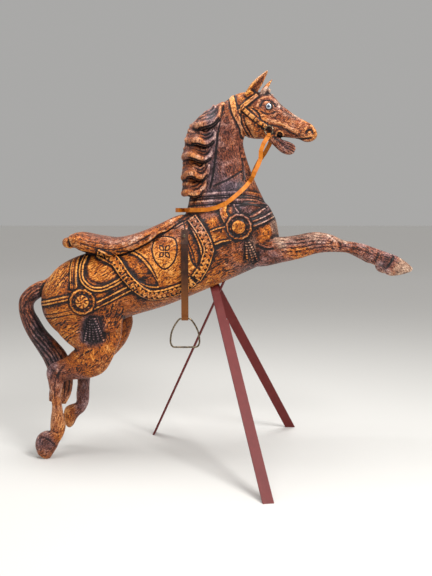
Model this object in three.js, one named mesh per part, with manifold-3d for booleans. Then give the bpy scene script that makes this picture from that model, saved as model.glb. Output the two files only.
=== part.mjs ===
// A carved fairground galloper with its three-legged stand, in millimetres, +Z up, nose towards +X.
import * as THREE from 'three';
import { mergeVertices } from 'three/addons/utils/BufferGeometryUtils.js';
import Module from 'manifold-3d';

const wasm = await Module();
wasm.setup();

// The horse is carved to one drawing, whose numbers are thousandths of its length, 0 at the floor.
const HORSE_LENGTH = 1620;
const HEAD_TURN = 14; // degrees that the head turns to the horse's right
const RELIEF = 8; // height of the carved straps above the body
const CLOTH_RELIEF = RELIEF * 0.6;
const BORDER_RELIEF = RELIEF * 1.3;
const COLLAR_RELIEF = RELIEF * 0.8;
const BRIDLE_RELIEF = RELIEF * 0.7;
const CLEARANCE = 0.4; // gap between pieces that touch

const EYE_DIAMETER = 34;
const RING_DIAMETER = 40; // rein ring, outside
const RING_WIRE = 5;
const REIN_WIDTH = 17;
const REIN_THICKNESS = 3;
const STRAP_WIDTH = 28; // stirrup strap
const STRAP_THICKNESS = 4;
const STRAP_DROP = 324; // from the strap's nail to the stirrup's eye
const STRAP_ABOVE_NAIL = 24;
const NAIL_HEAD = 11;
const NAIL_SHANK = 4;
const NAIL_LENGTH = 30;
const STIRRUP_WIDTH = 122;
const STIRRUP_HEIGHT = 122;
const STIRRUP_BAR = 7;
const STIRRUP_CUTS = 24; // facets round the iron
const STRAP_CUTS = 12; // facets along the stirrup strap
const REIN_CUTS = 38;

const LEG_WIDTH = 40; // flat bar of the stand
const LEG_THICKNESS = 8;
const LEG_REBATE = 6; // the near leg is this much narrower above its step
const LEG_STEP_BELOW_BELLY = 150;
const LEG_IN_BELLY = 60;
const FEET = {
  stand_leg_near: { top: [-2, -34], foot: [181, -540], broad: [1, 0.15], rebate: LEG_REBATE },
  stand_leg_far: { top: [-2, 34], foot: [350, 340], broad: [1, 0], rebate: 0 },
  stand_leg_rear: { top: [18, 0], foot: [-284, 240], broad: [0.12, 1], rebate: 0 },
};

const unit = HORSE_LENGTH / 1000;
const ROOM = HORSE_LENGTH * 2; // more than the model reaches, for cutting solids

// Stations of each carved mass: top x, top z, bottom x, bottom z, half width, middle's y.
const TORSO = [
  [-443, 417, -443, 379, 20, 0],
  [-437, 436, -434, 356, 44, 0],
  [-419, 465, -414, 328, 66, 0],
  [-388, 494, -384, 307, 83, 0],
  [-321, 522, -312, 308, 93, 0],
  [-239, 535, -231, 353, 88, 0],
  [-150, 566, -131, 385, 90, 0],
  [-76, 614, -20, 430, 92, 0],
  [10, 650, 69, 469, 86, 0],
  [60, 661, 102, 484, 78, 0],
  [100, 659, 132, 499, 66, 0],
  [129, 643, 150, 515, 52, 0],
  [150, 608, 161, 545, 28, 0],
];
const NECK = [
  [-84, 598, 150, 560, 62, 0],
  [-70, 643, 126, 641, 54, 0],
  [-64, 690, 103, 690, 43, 0],
  [-63, 728, 88, 725, 37, 0],
  [-58, 773, 73, 770, 33, 0],
  [-43, 817, 68, 798, 31, 0],
  [-17, 859, 75, 817, 30, 0],
  [17, 893, 92, 837, 28, 0],
  [55, 914, 112, 856, 25, 0],
];
const HEAD = [
  [37, 909, 60, 858, 20, 0],
  [65, 918, 76, 812, 28, 0],
  [104, 917, 100, 804, 31, 0],
  [142, 907, 123, 805, 28, 0],
  [165, 884, 143, 808, 23, 0],
  [207, 853, 188, 804, 17, 0],
  [229, 841, 208, 800, 16.5, 0],
  [242, 832, 225, 793, 16, 0],
  [251, 818, 240, 795, 12, 0],
  [253, 810, 249, 801, 6, 0],
];
const JAW = [
  [112, 836, 104, 806, 20, 0],
  [140, 826, 130, 800, 17, 0],
  [163, 803, 148, 784, 14, 0],
  [182, 796, 165, 769, 13, 0],
  [196, 788, 184, 763, 11, 0],
  [201, 780, 195, 766, 5, 0],
];
const FORELEG = [
  [70, 592, 62, 490, 24, -34],
  [120, 573, 117, 488, 27, -38],
  [164, 560, 164, 498, 24, -40],
  [203, 563, 209, 508, 20, -40],
  [238, 570, 244, 519, 19, -40],
  [265, 572, 266, 523, 19, -40],
  [290, 566, 284, 524, 17, -40],
  [313, 555, 303, 524, 14, -40],
  [338, 549, 328, 522, 12.5, -40],
  [365, 545, 353, 513, 12.5, -40],
  [390, 536, 376, 501, 14, -40],
  [413, 528, 396, 491, 14.5, -40],
  [432, 521, 412, 489, 13, -40],
  [447, 516, 418, 474, 15, -40],
  [461, 508, 434, 465, 18, -40],
  [478, 496, 459, 467, 15, -40],
  [491, 484, 486, 475, 7, -40],
];
const HIND_RIGHT = [
  [-244, 425, -383, 415, 30, -42],
  [-234, 385, -408, 360, 37, -44],
  [-234, 350, -398, 327, 36, -46],
  [-238, 309, -371, 297, 33, -48],
  [-254, 269, -354, 283, 29, -49],
  [-282, 223, -362, 275, 25, -49],
  [-323, 206, -377, 261, 20, -49],
  [-361, 203, -397, 251, 16.5, -49],
  [-381, 199, -416, 242, 15, -49],
  [-386, 190, -427, 224, 14.5, -49],
  [-389, 176, -423, 197, 13.5, -49],
  [-392, 161, -419, 169, 12, -49],
  [-390, 135, -415, 135, 12, -49],
  [-385, 104, -419, 104, 13.5, -49],
  [-382, 80, -421, 82, 14, -49],
  [-389, 57, -422, 70, 13, -49],
  [-400, 38, -435, 70, 14, -49],
  [-406, 25, -453, 58, 17, -49],
  [-416, 10, -460, 36, 17, -49],
  [-426, -6, -455, 12, 12, -49],
];
const HIND_LEFT = [
  [-247, 414, -384, 404, 30, 42],
  [-227, 372, -407, 345, 37, 44],
  [-219, 340, -397, 311, 36, 46],
  [-225, 311, -371, 278, 33, 48],
  [-241, 278, -350, 262, 28, 49],
  [-266, 249, -350, 262, 24, 49],
  [-298, 222, -361, 251, 20, 49],
  [-322, 203, -372, 238, 17, 49],
  [-333, 189, -375, 222, 15, 49],
  [-337, 167, -369, 178, 13, 49],
  [-338, 140, -373, 140, 12, 49],
  [-341, 116, -374, 118, 13, 49],
  [-352, 94, -385, 113, 14, 49],
  [-365, 83, -396, 109, 13.5, 49],
  [-373, 73, -404, 102, 16, 49],
  [-383, 55, -408, 77, 15, 49],
  [-392, 48, -403, 57, 9, 49],
];
const TAIL = [
  [-408, 476, -425, 425, 14, 0],
  [-434, 453, -438, 413, 17, 0],
  [-457, 446, -451, 404, 19, 0],
  [-482, 430, -461, 397, 20, 0],
  [-501, 407, -468, 386, 20, 0],
  [-505, 379, -467, 371, 21, 0],
  [-498, 342, -456, 351, 22, 0],
  [-483, 307, -438, 321, 22, 0],
  [-462, 272, -410, 290, 21, 0],
  [-444, 240, -387, 261, 20, 0],
  [-433, 206, -374, 224, 18, 0],
  [-431, 177, -371, 188, 16, 0],
  [-434, 153, -377, 153, 14, 0],
  [-435, 134, -391, 126, 8, 0],
];
const SADDLE = [
  [-366, 566, -352, 534, 64, 0],
  [-345, 573, -326, 522, 76, 0],
  [-294, 565, -290, 516, 82, 0],
  [-250, 560, -250, 512, 80, 0],
  [-193, 573, -190, 530, 74, 0],
  [-142, 594, -145, 556, 62, 0],
  [-104, 611, -112, 572, 48, 0],
  [-97, 606, -100, 580, 34, 0],
];

// One lock of the mane, in its own frame: x from the crest, z up, and half thickness.
const LOCK = [
  [-5, 7, -5, -7, 6, 0],
  [3, 18, 2, -18, 13, 0],
  [20, 22, 18, -27, 16, 0],
  [38, 22, 40, -24, 15, 0],
  [50, 23, 55, -9, 10, 0],
  [57, 20, 62, 6, 4, 0],
];
const LOCK_ROOTS = [[-46, 862], [-66, 812], [-74, 767], [-78, 724], [-76, 684]];
const LOCK_SIDE = 27; // the locks lie this far to the horse's right

function merged(geometry) {
  const bare = geometry.clone();
  bare.deleteAttribute('normal');
  bare.deleteAttribute('uv');
  return mergeVertices(bare, 1e-4);
}

function solid(geometry) {
  const mesh = merged(geometry);
  const manifold = new wasm.Manifold(new wasm.Mesh({
    numProp: 3,
    vertProperties: new Float32Array(mesh.attributes.position.array),
    triVerts: new Uint32Array(mesh.index.array),
  }));
  if (manifold.volume() > 0) return manifold;
  const flipped = mesh.index.array.slice().reverse();
  return new wasm.Manifold(new wasm.Mesh({
    numProp: 3,
    vertProperties: new Float32Array(mesh.attributes.position.array),
    triVerts: new Uint32Array(flipped),
  }));
}

function geometryOf(manifold) {
  const mesh = manifold.getMesh();
  const geometry = new THREE.BufferGeometry();
  geometry.setAttribute('position', new THREE.BufferAttribute(new Float32Array(mesh.vertProperties), 3));
  geometry.setIndex(new THREE.BufferAttribute(new Uint32Array(mesh.triVerts), 1));
  geometry.computeVertexNormals();
  return geometry;
}

function union(parts) {
  return parts.reduce((all, part) => all.add(part));
}

// A carved mass: rounded sections between a top and a bottom line, swollen by `skin` millimetres.
function loft(stations, sides, between, skin = 0, roundness = 2.3) {
  const curveOf = (pick) => new THREE.CatmullRomCurve3(stations.map(pick), false, 'centripetal');
  const top = curveOf(([x, z, , , , y]) => new THREE.Vector3(x, y, z));
  const bottom = curveOf(([, , x, z, , y]) => new THREE.Vector3(x, y, z));
  const spacing = 40; // even steps that keep the widths' curve from swinging
  const width = curveOf(([, , , , w], i) => new THREE.Vector3(i * spacing, w, 0));
  const rings = (stations.length - 1) * between + 1;
  const positions = [];
  const index = [];
  const ends = [];
  for (let i = 0; i < rings; i += 1) {
    const t = i / (rings - 1);
    const high = top.getPoint(t).multiplyScalar(unit);
    const low = bottom.getPoint(t).multiplyScalar(unit);
    const middle = high.clone().add(low).multiplyScalar(0.5);
    const half = high.clone().sub(middle);
    half.setLength(half.length() + skin);
    const across = width.getPoint(t).y * unit + skin;
    for (let j = 0; j < sides; j += 1) {
      const angle = (j / sides) * 2 * Math.PI;
      const up = Math.sign(Math.cos(angle)) * Math.abs(Math.cos(angle)) ** (2 / roundness);
      const side = Math.sign(Math.sin(angle)) * Math.abs(Math.sin(angle)) ** (2 / roundness);
      const point = middle.clone().addScaledVector(half, up);
      positions.push(point.x, point.y + across * side, point.z);
    }
    ends.push(middle);
  }
  for (let i = 0; i < rings - 1; i += 1) {
    for (let j = 0; j < sides; j += 1) {
      const a = i * sides + j;
      const b = i * sides + ((j + 1) % sides);
      index.push(a, b, a + sides, b, b + sides, a + sides);
    }
  }
  const first = rings * sides;
  positions.push(...ends[0].toArray(), ...ends[rings - 1].toArray());
  for (let j = 0; j < sides; j += 1) {
    const next = (j + 1) % sides;
    index.push(first, next, j);
    index.push(first + 1, (rings - 1) * sides + j, (rings - 1) * sides + next);
  }
  const geometry = new THREE.BufferGeometry();
  geometry.setAttribute('position', new THREE.Float32BufferAttribute(positions, 3));
  geometry.setIndex(index);
  return geometry;
}

// An outline in the side drawing, pushed through the horse from y = near to y = far.
function slab(points, near, far, smooth = false) {
  const drawn = points.map(([x, z]) => new THREE.Vector2(x * unit, z * unit));
  const rounded = new THREE.SplineCurve([...drawn, drawn[0]]).getPoints(points.length * 2);
  const shape = new THREE.Shape(smooth ? rounded : drawn);
  const depth = (far - near) * unit;
  const geometry = new THREE.ExtrudeGeometry(shape, { depth, bevelEnabled: false });
  geometry.rotateX(Math.PI / 2);
  geometry.translate(0, far * unit, 0);
  return geometry;
}

// A strip of one width along a drawn line.
function strip(points, width, near, far) {
  const line = new THREE.SplineCurve(points.map(([x, z]) => new THREE.Vector2(x, z)));
  const steps = (points.length - 1) * (points.length > 5 ? 1 : 2);
  const left = [];
  const right = [];
  for (let i = 0; i <= steps; i += 1) {
    const at = line.getPoint(i / steps);
    const along = line.getTangent(i / steps);
    left.push([at.x - along.y * width / 2, at.y + along.x * width / 2]);
    right.unshift([at.x + along.y * width / 2, at.y - along.x * width / 2]);
  }
  return slab([...left, ...right], near, far);
}

function turnHead(geometry) {
  const pivot = 60 * unit;
  geometry.translate(-pivot, 0, 0);
  geometry.rotateZ(THREE.MathUtils.degToRad(-HEAD_TURN));
  geometry.translate(pivot, 0, 0);
  return geometry;
}

function box(size, at) {
  return new THREE.BoxGeometry(...size).translate(...at);
}

// The bare animal.
const torsoLoft = (skin) => solid(loft(TORSO, 14, 1, skin));
const neckLoft = (skin) => solid(loft(NECK, 12, 1, skin));
const headLoft = (skin) => solid(turnHead(loft(HEAD, 10, 1, skin)));
const body = [
  torsoLoft(0),
  neckLoft(0),
  headLoft(0),
  solid(turnHead(loft(JAW, 8, 1))),
  solid(loft(FORELEG, 8, 1)),
  solid(loft(FORELEG.map(([a, b, c, d, w, y]) => [a, b, c, d, w, -y]), 8, 1)),
  solid(loft(HIND_RIGHT, 8, 1)),
  solid(loft(HIND_LEFT, 8, 1)),
  solid(loft(TAIL, 8, 1)),
];

// Ears, prick-shaped: a cone leant forward, hollowed in front.
const EARS = [
  { base: [93, 916, -20], tip: [136, 966, -24], wide: 17 },
  { base: [112, 914, 18], tip: [139, 954, 24], wide: 13 },
];
for (const { base, tip, wide } of EARS) {
  const from = new THREE.Vector3(base[0], base[2], base[1]).multiplyScalar(unit);
  const to = new THREE.Vector3(tip[0], tip[2], tip[1]).multiplyScalar(unit);
  const height = from.distanceTo(to);
  const profile = [[0, -0.25], [0.8, -0.25], [1, 0.1], [0.86, 0.45], [0.5, 0.8], [0, 1]];
  const ear = new THREE.LatheGeometry(profile.map(([r, h]) => new THREE.Vector2(r * wide * unit, h * height)), 8);
  ear.scale(0.62, 1, 0.8);
  const way = to.clone().sub(from).normalize();
  const turn = new THREE.Quaternion().setFromUnitVectors(new THREE.Vector3(0, 1, 0), way);
  ear.applyQuaternion(turn);
  ear.translate(...from.toArray());
  body.push(solid(turnHead(ear)));
}
const FORELOCK = [[108, 906], [122, 912], [134, 932], [142, 918], [150, 900], [130, 890]];
body.push(solid(turnHead(slab(FORELOCK, -9, 9))));

// Mane: overlapping locks on the horse's right, and the crest they grow from.
for (const [x, z] of LOCK_ROOTS) {
  const lock = loft(LOCK, 8, 1, 0, 2);
  lock.translate(x * unit, -LOCK_SIDE * unit, z * unit);
  body.push(solid(lock));
}

// Saddle with its rolled cantle.
body.push(solid(loft(SADDLE, 10, 1, 0, 3)));
const [rimTopX, rimTopZ, , rimLowZ, rimHalf] = SADDLE[0];
const CANTLE = {
  x: rimTopX - 8,
  z: rimTopZ * 0.4 + rimLowZ * 0.6,
  radius: (rimTopZ - rimLowZ) * 0.41,
  half: rimHalf * 0.81,
  reach: 16,
};
const cantleLine = new THREE.CatmullRomCurve3([
  [CANTLE.x + CANTLE.reach, -CANTLE.half], [CANTLE.x + 2, -CANTLE.half / 2], [CANTLE.x, 0],
  [CANTLE.x + 2, CANTLE.half / 2], [CANTLE.x + CANTLE.reach, CANTLE.half],
].map(([x, y]) => new THREE.Vector3(x * unit, y * unit, CANTLE.z * unit)));
function tube(curve, halfWidth, halfHeight, sides, steps) {
  const section = new THREE.Shape();
  section.absellipse(0, 0, halfHeight, halfWidth, 0, 2 * Math.PI, false, 0);
  return new THREE.ExtrudeGeometry(new THREE.Shape(section.getPoints(sides).slice(0, -1)), {
    steps, extrudePath: curve, bevelEnabled: false,
  });
}
const roll = CANTLE.radius * unit;
body.push(solid(tube(cantleLine, roll, roll, 2, 6)));

// Trappings stand RELIEF above the body: a swollen body cut to each drawn outline.
const FULL = 130; // past the body's sides
const cloth = torsoLoft(CLOTH_RELIEF);
const strapping = torsoLoft(RELIEF);
const border = torsoLoft(BORDER_RELIEF);
const CLOTH_FRONT = [[-50, 616], [-27, 585], [-12, 556], [-5, 532], [-10, 512], [-19, 488], [-39, 456]];
const CLOTH_REAR = [[-92, 424], [-124, 414], [-161, 410], [-185, 420], [-209, 439], [-233, 466], [-257, 498],
  [-304, 524]];
body.push(cloth.intersect(solid(slab([...CLOTH_FRONT, [-63, 434], ...CLOTH_REAR, [-250, 580], [-90, 660]],
  -FULL, FULL))));
const inward = ([x, z], by) => {
  const middle = new THREE.Vector2(-140 - x, 520 - z).normalize();
  return [x + middle.x * by, z + middle.y * by];
};
const BORDER_WIDTH = 22;
for (const edge of [CLOTH_FRONT, CLOTH_REAR]) {
  const centre = edge.map((point) => inward(point, BORDER_WIDTH / 2));
  body.push(border.intersect(solid(strip(centre, BORDER_WIDTH, -FULL, FULL))));
}
const BANDS = [
  { line: [[-346, 530], [-347, 480], [-345, 434]], width: 18 },
  { line: [[-440, 404], [-400, 407], [-355, 408]], width: 12 },
  { line: [[-298, 400], [-250, 418], [-205, 444]], width: 16 },
  { line: [[-329, 515], [-335, 483], [-323, 451], [-302, 434], [-282, 442], [-253, 461]], width: 8 },
  { line: [[72, 590], [115, 605], [160, 628]], width: 14 },
  { line: [[38, 570], [10, 566], [-6, 560]], width: 22 },
];
for (const { line, width } of BANDS) {
  body.push(strapping.intersect(solid(strip(line, width, -FULL, FULL))));
}
const CARTOUCHE = [[-150, 560], [-124, 566], [-98, 560], [-94, 530], [-104, 500], [-124, 484], [-144, 500],
  [-154, 530]];
body.push(border.intersect(solid(slab(CARTOUCHE, -FULL, FULL, true))));

// Bands round the foot of the neck, and the bridle on the head.
const neckSkin = neckLoft(COLLAR_RELIEF);
for (const z of [646, 670]) {
  body.push(neckSkin.intersect(solid(strip([[-110, z], [20, z + 1], [150, z]], 8, -FULL, FULL))));
}
const headSkin = headLoft(BRIDLE_RELIEF);
const BRIDLE = [
  { line: [[39, 925], [44, 867], [54, 843], [66, 817], [74, 795]], width: 11 },
  { line: [[54, 865], [80, 885], [108, 910]], width: 9 },
  { line: [[72, 876], [100, 852], [132, 828]], width: 10 },
];
for (const { line, width } of BRIDLE) {
  body.push(headSkin.intersect(solid(turnHead(strip(line, width, -FULL, FULL)))));
}

// Rosettes and tassels on both sides, seated on the body's skin.
function rosette(x, z, radius, y) {
  const petals = 8;
  const rim = new THREE.Shape();
  for (let i = 0; i <= petals * 2; i += 1) {
    const angle = (i / (petals * 2)) * 2 * Math.PI;
    const reach = radius * unit * (0.94 + 0.06 * Math.cos(petals * angle));
    const at = [reach * Math.cos(angle), reach * Math.sin(angle)];
    if (i === 0) rim.moveTo(...at);
    else rim.lineTo(...at);
  }
  const deep = 26 * unit;
  const disc = new THREE.ExtrudeGeometry(rim, { depth: deep, bevelEnabled: false });
  const button = new THREE.SphereGeometry(radius * 0.52 * unit, 8, 4);
  const parts = [disc.translate(0, 0, -deep), button.scale(1, 1, 0.55).translate(0, 0, 1)];
  return parts.map((part) => solid(part.rotateX(Math.PI / 2).translate(x * unit, -y * unit, z * unit)));
}
function tassel(x, z, length, width, y) {
  const profile = [[0, 0], [0.35, -0.02], [0.3, -0.16], [0.5, -0.22], [1, -0.95], [0, -1]];
  const points = profile.map(([r, h]) => new THREE.Vector2(r * width * unit / 2, h * length * unit)).reverse();
  const skirt = new THREE.LatheGeometry(points, 7);
  skirt.rotateX(Math.PI / 2);
  skirt.scale(1, 0.8, 1);
  return solid(skirt.translate(x * unit, y * unit, z * unit));
}
const ROSETTES = [[53, 587, 29], [-326, 404, 32]];
const TASSELS = [[76, 560, 54, 30], [-302, 374, 64, 46]];
let horse = union(body);
let probe = new THREE.Mesh(geometryOf(horse), new THREE.MeshBasicMaterial({ side: THREE.DoubleSide }));
const ray = new THREE.Raycaster();
// How far out the carved side is at a point of the drawing, looking in from the horse's right or left.
function sideAt(x, z, side) {
  ray.set(new THREE.Vector3(x, side * ROOM, z), new THREE.Vector3(0, -side, 0));
  const hit = ray.intersectObject(probe)[0];
  return hit ? Math.abs(hit.point.y) : 0;
}
for (const [x, z, radius] of ROSETTES) {
  const seat = sideAt(x * unit, z * unit, -1) / unit + 3;
  for (const part of rosette(x, z, radius, seat)) horse = horse.add(part).add(part.mirror([0, 1, 0]));
}
for (const [x, z, length, width] of TASSELS) {
  const seat = sideAt(x * unit, (z - length / 2) * unit, -1) / unit - 2;
  for (const side of [-1, 1]) horse = horse.add(tassel(x, z, length, width, side * seat));
}

// Eye sockets, nostrils and the carved ring at the corner of the mouth.
const headPlace = (x, z, y) => {
  const at = new THREE.BufferGeometry();
  at.setAttribute('position', new THREE.Float32BufferAttribute([x * unit, y * unit, z * unit], 3));
  return turnHead(at).attributes.position.array;
};
const onHead = ([topX, topZ, lowX, lowZ, half], down, out, ahead = 0) => [
  topX + (lowX - topX) * down + ahead, topZ + (lowZ - topZ) * down, half * out,
];
const EYE = onHead(HEAD[3], 0.284, 0.79);
const NOSTRIL = onHead(HEAD[7], 0.41, 0.875, 3);
for (const side of [-1, 1]) {
  const brow = new THREE.TorusGeometry(EYE_DIAMETER * 0.52, 4, 4, 8).scale(1.15, 1, 1).rotateX(Math.PI / 2);
  const browAt = headPlace(EYE[0], EYE[1] + 2, side * (EYE[2] + 4.5));
  horse = horse.add(solid(brow.translate(...browAt)));
  const socket = new THREE.SphereGeometry(EYE_DIAMETER / 2 + CLEARANCE, 10, 6);
  horse = horse.subtract(solid(socket.translate(...headPlace(EYE[0], EYE[1], side * EYE[2]))));
  const nostril = new THREE.SphereGeometry(4.2 * unit, 6, 5).scale(1.3, 0.8, 0.8);
  horse = horse.subtract(solid(nostril.translate(...headPlace(NOSTRIL[0], NOSTRIL[1], side * NOSTRIL[2]))));
}

// The rein rings hang flat beside the cheeks, their tops let into the cheek straps' ends.
const RING = onHead(HEAD[3], 0.843, 0.964, 11);
const ringRadius = (RING_DIAMETER - RING_WIRE) / 2;
const ringPlace = (side) => headPlace(RING[0], RING[1], side * RING[2]);
const ringShape = (side, extra) => new THREE.TorusGeometry(ringRadius, RING_WIRE / 2 + extra, 6, 14)
  .rotateX(Math.PI / 2).rotateZ(THREE.MathUtils.degToRad(-HEAD_TURN)).translate(...ringPlace(side));
for (const side of [-1, 1]) {
  const [x, y, z] = ringPlace(side);
  const lug = new THREE.SphereGeometry(RING_WIRE * 1.7, 6, 4).scale(1, 1.6, 1);
  lug.translate(x, y - side * RING_WIRE, z + ringRadius + 1);
  horse = horse.add(solid(lug)).subtract(solid(ringShape(side, CLEARANCE)));
}

// The floor meets the lowest hoof, which gets a small flat.
const ground = solid(box([ROOM, ROOM, ROOM], [0, 0, -ROOM / 2]));
horse = horse.subtract(ground);

probe = new THREE.Mesh(geometryOf(horse), new THREE.MeshBasicMaterial({ side: THREE.DoubleSide }));

// A flat band of leather: its width lies across `lie`, which turns along the route.
function band(points, lies, width, thickness, cuts) {
  const route = new THREE.CatmullRomCurve3(points.map((p) => new THREE.Vector3(...p)), false, 'centripetal');
  const face = new THREE.CatmullRomCurve3(lies.map((p) => new THREE.Vector3(...p)), false, 'centripetal');
  const positions = [];
  const index = [];
  for (let i = 0; i <= cuts; i += 1) {
    const at = route.getPoint(i / cuts);
    const along = route.getTangent(i / cuts);
    const out = face.getPoint(i / cuts);
    out.addScaledVector(along, -out.dot(along)).normalize();
    const across = new THREE.Vector3().crossVectors(along, out);
    for (const [a, b] of [[-1, -1], [1, -1], [1, 1], [-1, 1]]) {
      const corner = at.clone().addScaledVector(across, a * width / 2).addScaledVector(out, b * thickness / 2);
      positions.push(...corner.toArray());
    }
    if (i < cuts) {
      for (let j = 0; j < 4; j += 1) {
        const p = i * 4 + j;
        const q = i * 4 + ((j + 1) % 4);
        index.push(p, q, p + 4, q, q + 4, p + 4);
      }
    }
  }
  const last = cuts * 4;
  index.push(0, 3, 2, 0, 2, 1, last, last + 1, last + 2, last, last + 2, last + 3);
  const geometry = new THREE.BufferGeometry();
  geometry.setAttribute('position', new THREE.Float32BufferAttribute(positions, 3));
  geometry.setIndex(index);
  return geometry;
}

const finishes = {
  wood: new THREE.MeshStandardMaterial({ color: 0x96602a, roughness: 0.45, metalness: 0 }),
  glass: new THREE.MeshStandardMaterial({ color: 0xdfe6ea, roughness: 0.08, metalness: 0 }),
  steel: new THREE.MeshStandardMaterial({ color: 0x6f665c, roughness: 0.4, metalness: 1 }),
  leather: new THREE.MeshStandardMaterial({ color: 0xb0702a, roughness: 0.55, metalness: 0 }),
  strapLeather: new THREE.MeshStandardMaterial({ color: 0x5c3a24, roughness: 0.6, metalness: 0 }),
  paint: new THREE.MeshStandardMaterial({ color: 0x8c3f3c, roughness: 0.5, metalness: 0 }),
};
const model = new THREE.Group();
function piece(name, geometry, finish) {
  const mesh = new THREE.Mesh(geometry, finishes[finish].clone());
  mesh.name = name;
  model.add(mesh);
}

// Stirrup strap: nailed under the saddle, over the barrel's right side, then straight down.
const NAIL = [-76, 566];
const nailX = NAIL[0] * unit;
const nailZ = NAIL[1] * unit;
{
  const side = -1;
  const gap = STRAP_THICKNESS / 2 + 3;
  const endAboveEye = (STIRRUP_BAR + STRAP_THICKNESS) / 2;
  const tall = STRAP_DROP + STRAP_ABOVE_NAIL - endAboveEye;
    const route = [];
  let widest = 0;
  for (let i = 0; i <= STRAP_CUTS; i += 1) {
    const z = nailZ + STRAP_ABOVE_NAIL - (tall * i) / STRAP_CUTS;
    const shares = [-0.5, -0.25, 0, 0.25, 0.5];
    const near = Math.max(...shares.map((share) => sideAt(nailX + share * STRAP_WIDTH, z, side)));
    widest = Math.max(widest, near + gap);
    route.push([nailX, side * widest, z]);
  }
  const strap = solid(band(route, route.map(() => [0, side, 0]), STRAP_WIDTH, STRAP_THICKNESS, STRAP_CUTS));
  const eyeZ = route[STRAP_CUTS][2] - endAboveEye;
  const eyeY = route[STRAP_CUTS][1];
  const nailY = Math.abs(route[2][1]); // the strap leans out past the nail, so its head clears the lower edge
  const seatY = nailY + STRAP_THICKNESS / 2;
  const nailSize = (extra) => [
    [0, -NAIL_LENGTH], [NAIL_SHANK / 2 + extra, -NAIL_LENGTH + 2], [NAIL_SHANK / 2 + extra, 2],
  ];
  const head = [[NAIL_HEAD / 2, 2], [NAIL_HEAD / 2, 3], [NAIL_HEAD / 4, 5], [0, 5.5]];
  const nailTurned = (profile) => new THREE.LatheGeometry(profile.map(([r, h]) => new THREE.Vector2(r, h)), 12)
    .rotateX(side < 0 ? Math.PI : 0).translate(nailX, side * seatY, nailZ);
  const shankHole = nailTurned([[0, -NAIL_LENGTH - 1], ...nailSize(CLEARANCE).slice(1), [0, 2]]);
  horse = horse.subtract(solid(shankHole));
  const stirrupLine = stirrupRoute(nailX, eyeY, eyeZ);
  const bar = solid(tube(stirrupLine, STIRRUP_BAR / 2, STIRRUP_BAR / 2, 3, STIRRUP_CUTS));
  const barRoom = solid(tube(stirrupLine, STIRRUP_BAR / 2 + CLEARANCE, STIRRUP_BAR / 2 + CLEARANCE, 3,
    STIRRUP_CUTS));
  const fold = solid(box([STRAP_WIDTH - 2, STIRRUP_BAR + STRAP_THICKNESS * 2, STIRRUP_BAR + STRAP_THICKNESS * 2],
    [nailX, eyeY, eyeZ]));
  piece('stirrup_strap', geometryOf(fold.add(strap).subtract(barRoom).subtract(solid(shankHole))),
    'strapLeather');
  piece('stirrup', geometryOf(bar), 'steel');
  piece('strap_nail', geometryOf(solid(nailTurned([...nailSize(0), ...head]))), 'steel');
}

// The stirrup iron: a flat tread, sides that lean in, and a straight eye bar on top.
function stirrupRoute(x, y, z) {
  const half = STIRRUP_WIDTH / 2 - STIRRUP_BAR / 2;
  const drop = STIRRUP_HEIGHT - STIRRUP_BAR;
  const outline = [[0, 0], [0.33, -0.01], [0.62, -0.17], [0.9, -0.45], [1, -0.72], [0.98, -0.88], [0.84, -0.985],
    [0.45, -1]];
  const mirrored = outline.slice(1).reverse().map(([a, b]) => [-a, b]);
  const points = [...outline, ...mirrored].map(([a, b]) => new THREE.Vector3(x + a * half, y, z + b * drop));
  return new THREE.CatmullRomCurve3(points, true, 'centripetal');
}

// Rein: one strap from ring to ring, round the withers behind the mane.
const REIN = [
  [132, 806, 30], [121, 779, 36], [108, 750, 43], [96, 724, 48], [88, 706, 46], [74, 687, 50], [49, 664, 56],
  [20, 642, 62], [-15, 630, 64], [-50, 628, 60], [-80, 628, 46], [-97, 628, 24],
];
const SIDES = [['right', -1], ['left', 1]];
for (const [word, side] of SIDES) {
  const ball = new THREE.SphereGeometry(EYE_DIAMETER / 2, 10, 6);
  piece(`eye_${word}`, ball.translate(...headPlace(EYE[0], EYE[1], side * EYE[2])), 'glass');
}
for (const [word, side] of SIDES) piece(`rein_ring_${word}`, ringShape(side, 0), 'steel');

const reinGap = REIN_THICKNESS / 2 + 2;
const reinHalf = (side) => REIN.map(([x, z, y], i) => {
  if (i === 0) return [...ringPlace(side)].map((v, axis) => (axis === 2 ? v - ringRadius - 3 : v));
  return i === 1 ? [...headPlace(x, z, side * y)] : [x * unit, side * y * unit, z * unit];
});
const reinDrawn = [...reinHalf(-1), [-102 * unit, 0, 628 * unit], ...reinHalf(1).reverse()];
const reinCurve = new THREE.CatmullRomCurve3(reinDrawn.map((p) => new THREE.Vector3(...p)), false, 'centripetal');
// Where the strap lies on the neck and shoulders it follows the carving.
const reinPoints = reinCurve.getPoints(REIN_CUTS).map(({ x, y, z }) => {
  if (z > 700 * unit || x < -88 * unit) return [x, y, z];
  const side = Math.sign(y);
  const across = [-0.6, -0.3, 0, 0.3, 0.6].flatMap((share) => [-8, 0, 8].map(
    (step) => sideAt(x + step, z + share * REIN_WIDTH, side),
  ));
  return [x, side * (Math.max(...across) + reinGap), z];
});
const reinLies = reinPoints.map(([x, y]) => (x < -84 * unit ? [-1, y / (40 * unit), 0] : [0, Math.sign(y), 0.05]));
let rein = solid(band(reinPoints, reinLies, REIN_WIDTH, REIN_THICKNESS, REIN_CUTS));
for (const side of [-1, 1]) {
  const [x, y, z] = ringPlace(side);
  const loop = box([REIN_WIDTH * 0.8, RING_WIRE + REIN_THICKNESS * 2, RING_WIRE + REIN_THICKNESS * 2 + 2],
    [x, y, z - ringRadius]);
  rein = rein.add(solid(loop)).subtract(solid(ringShape(side, CLEARANCE)));
}

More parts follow.
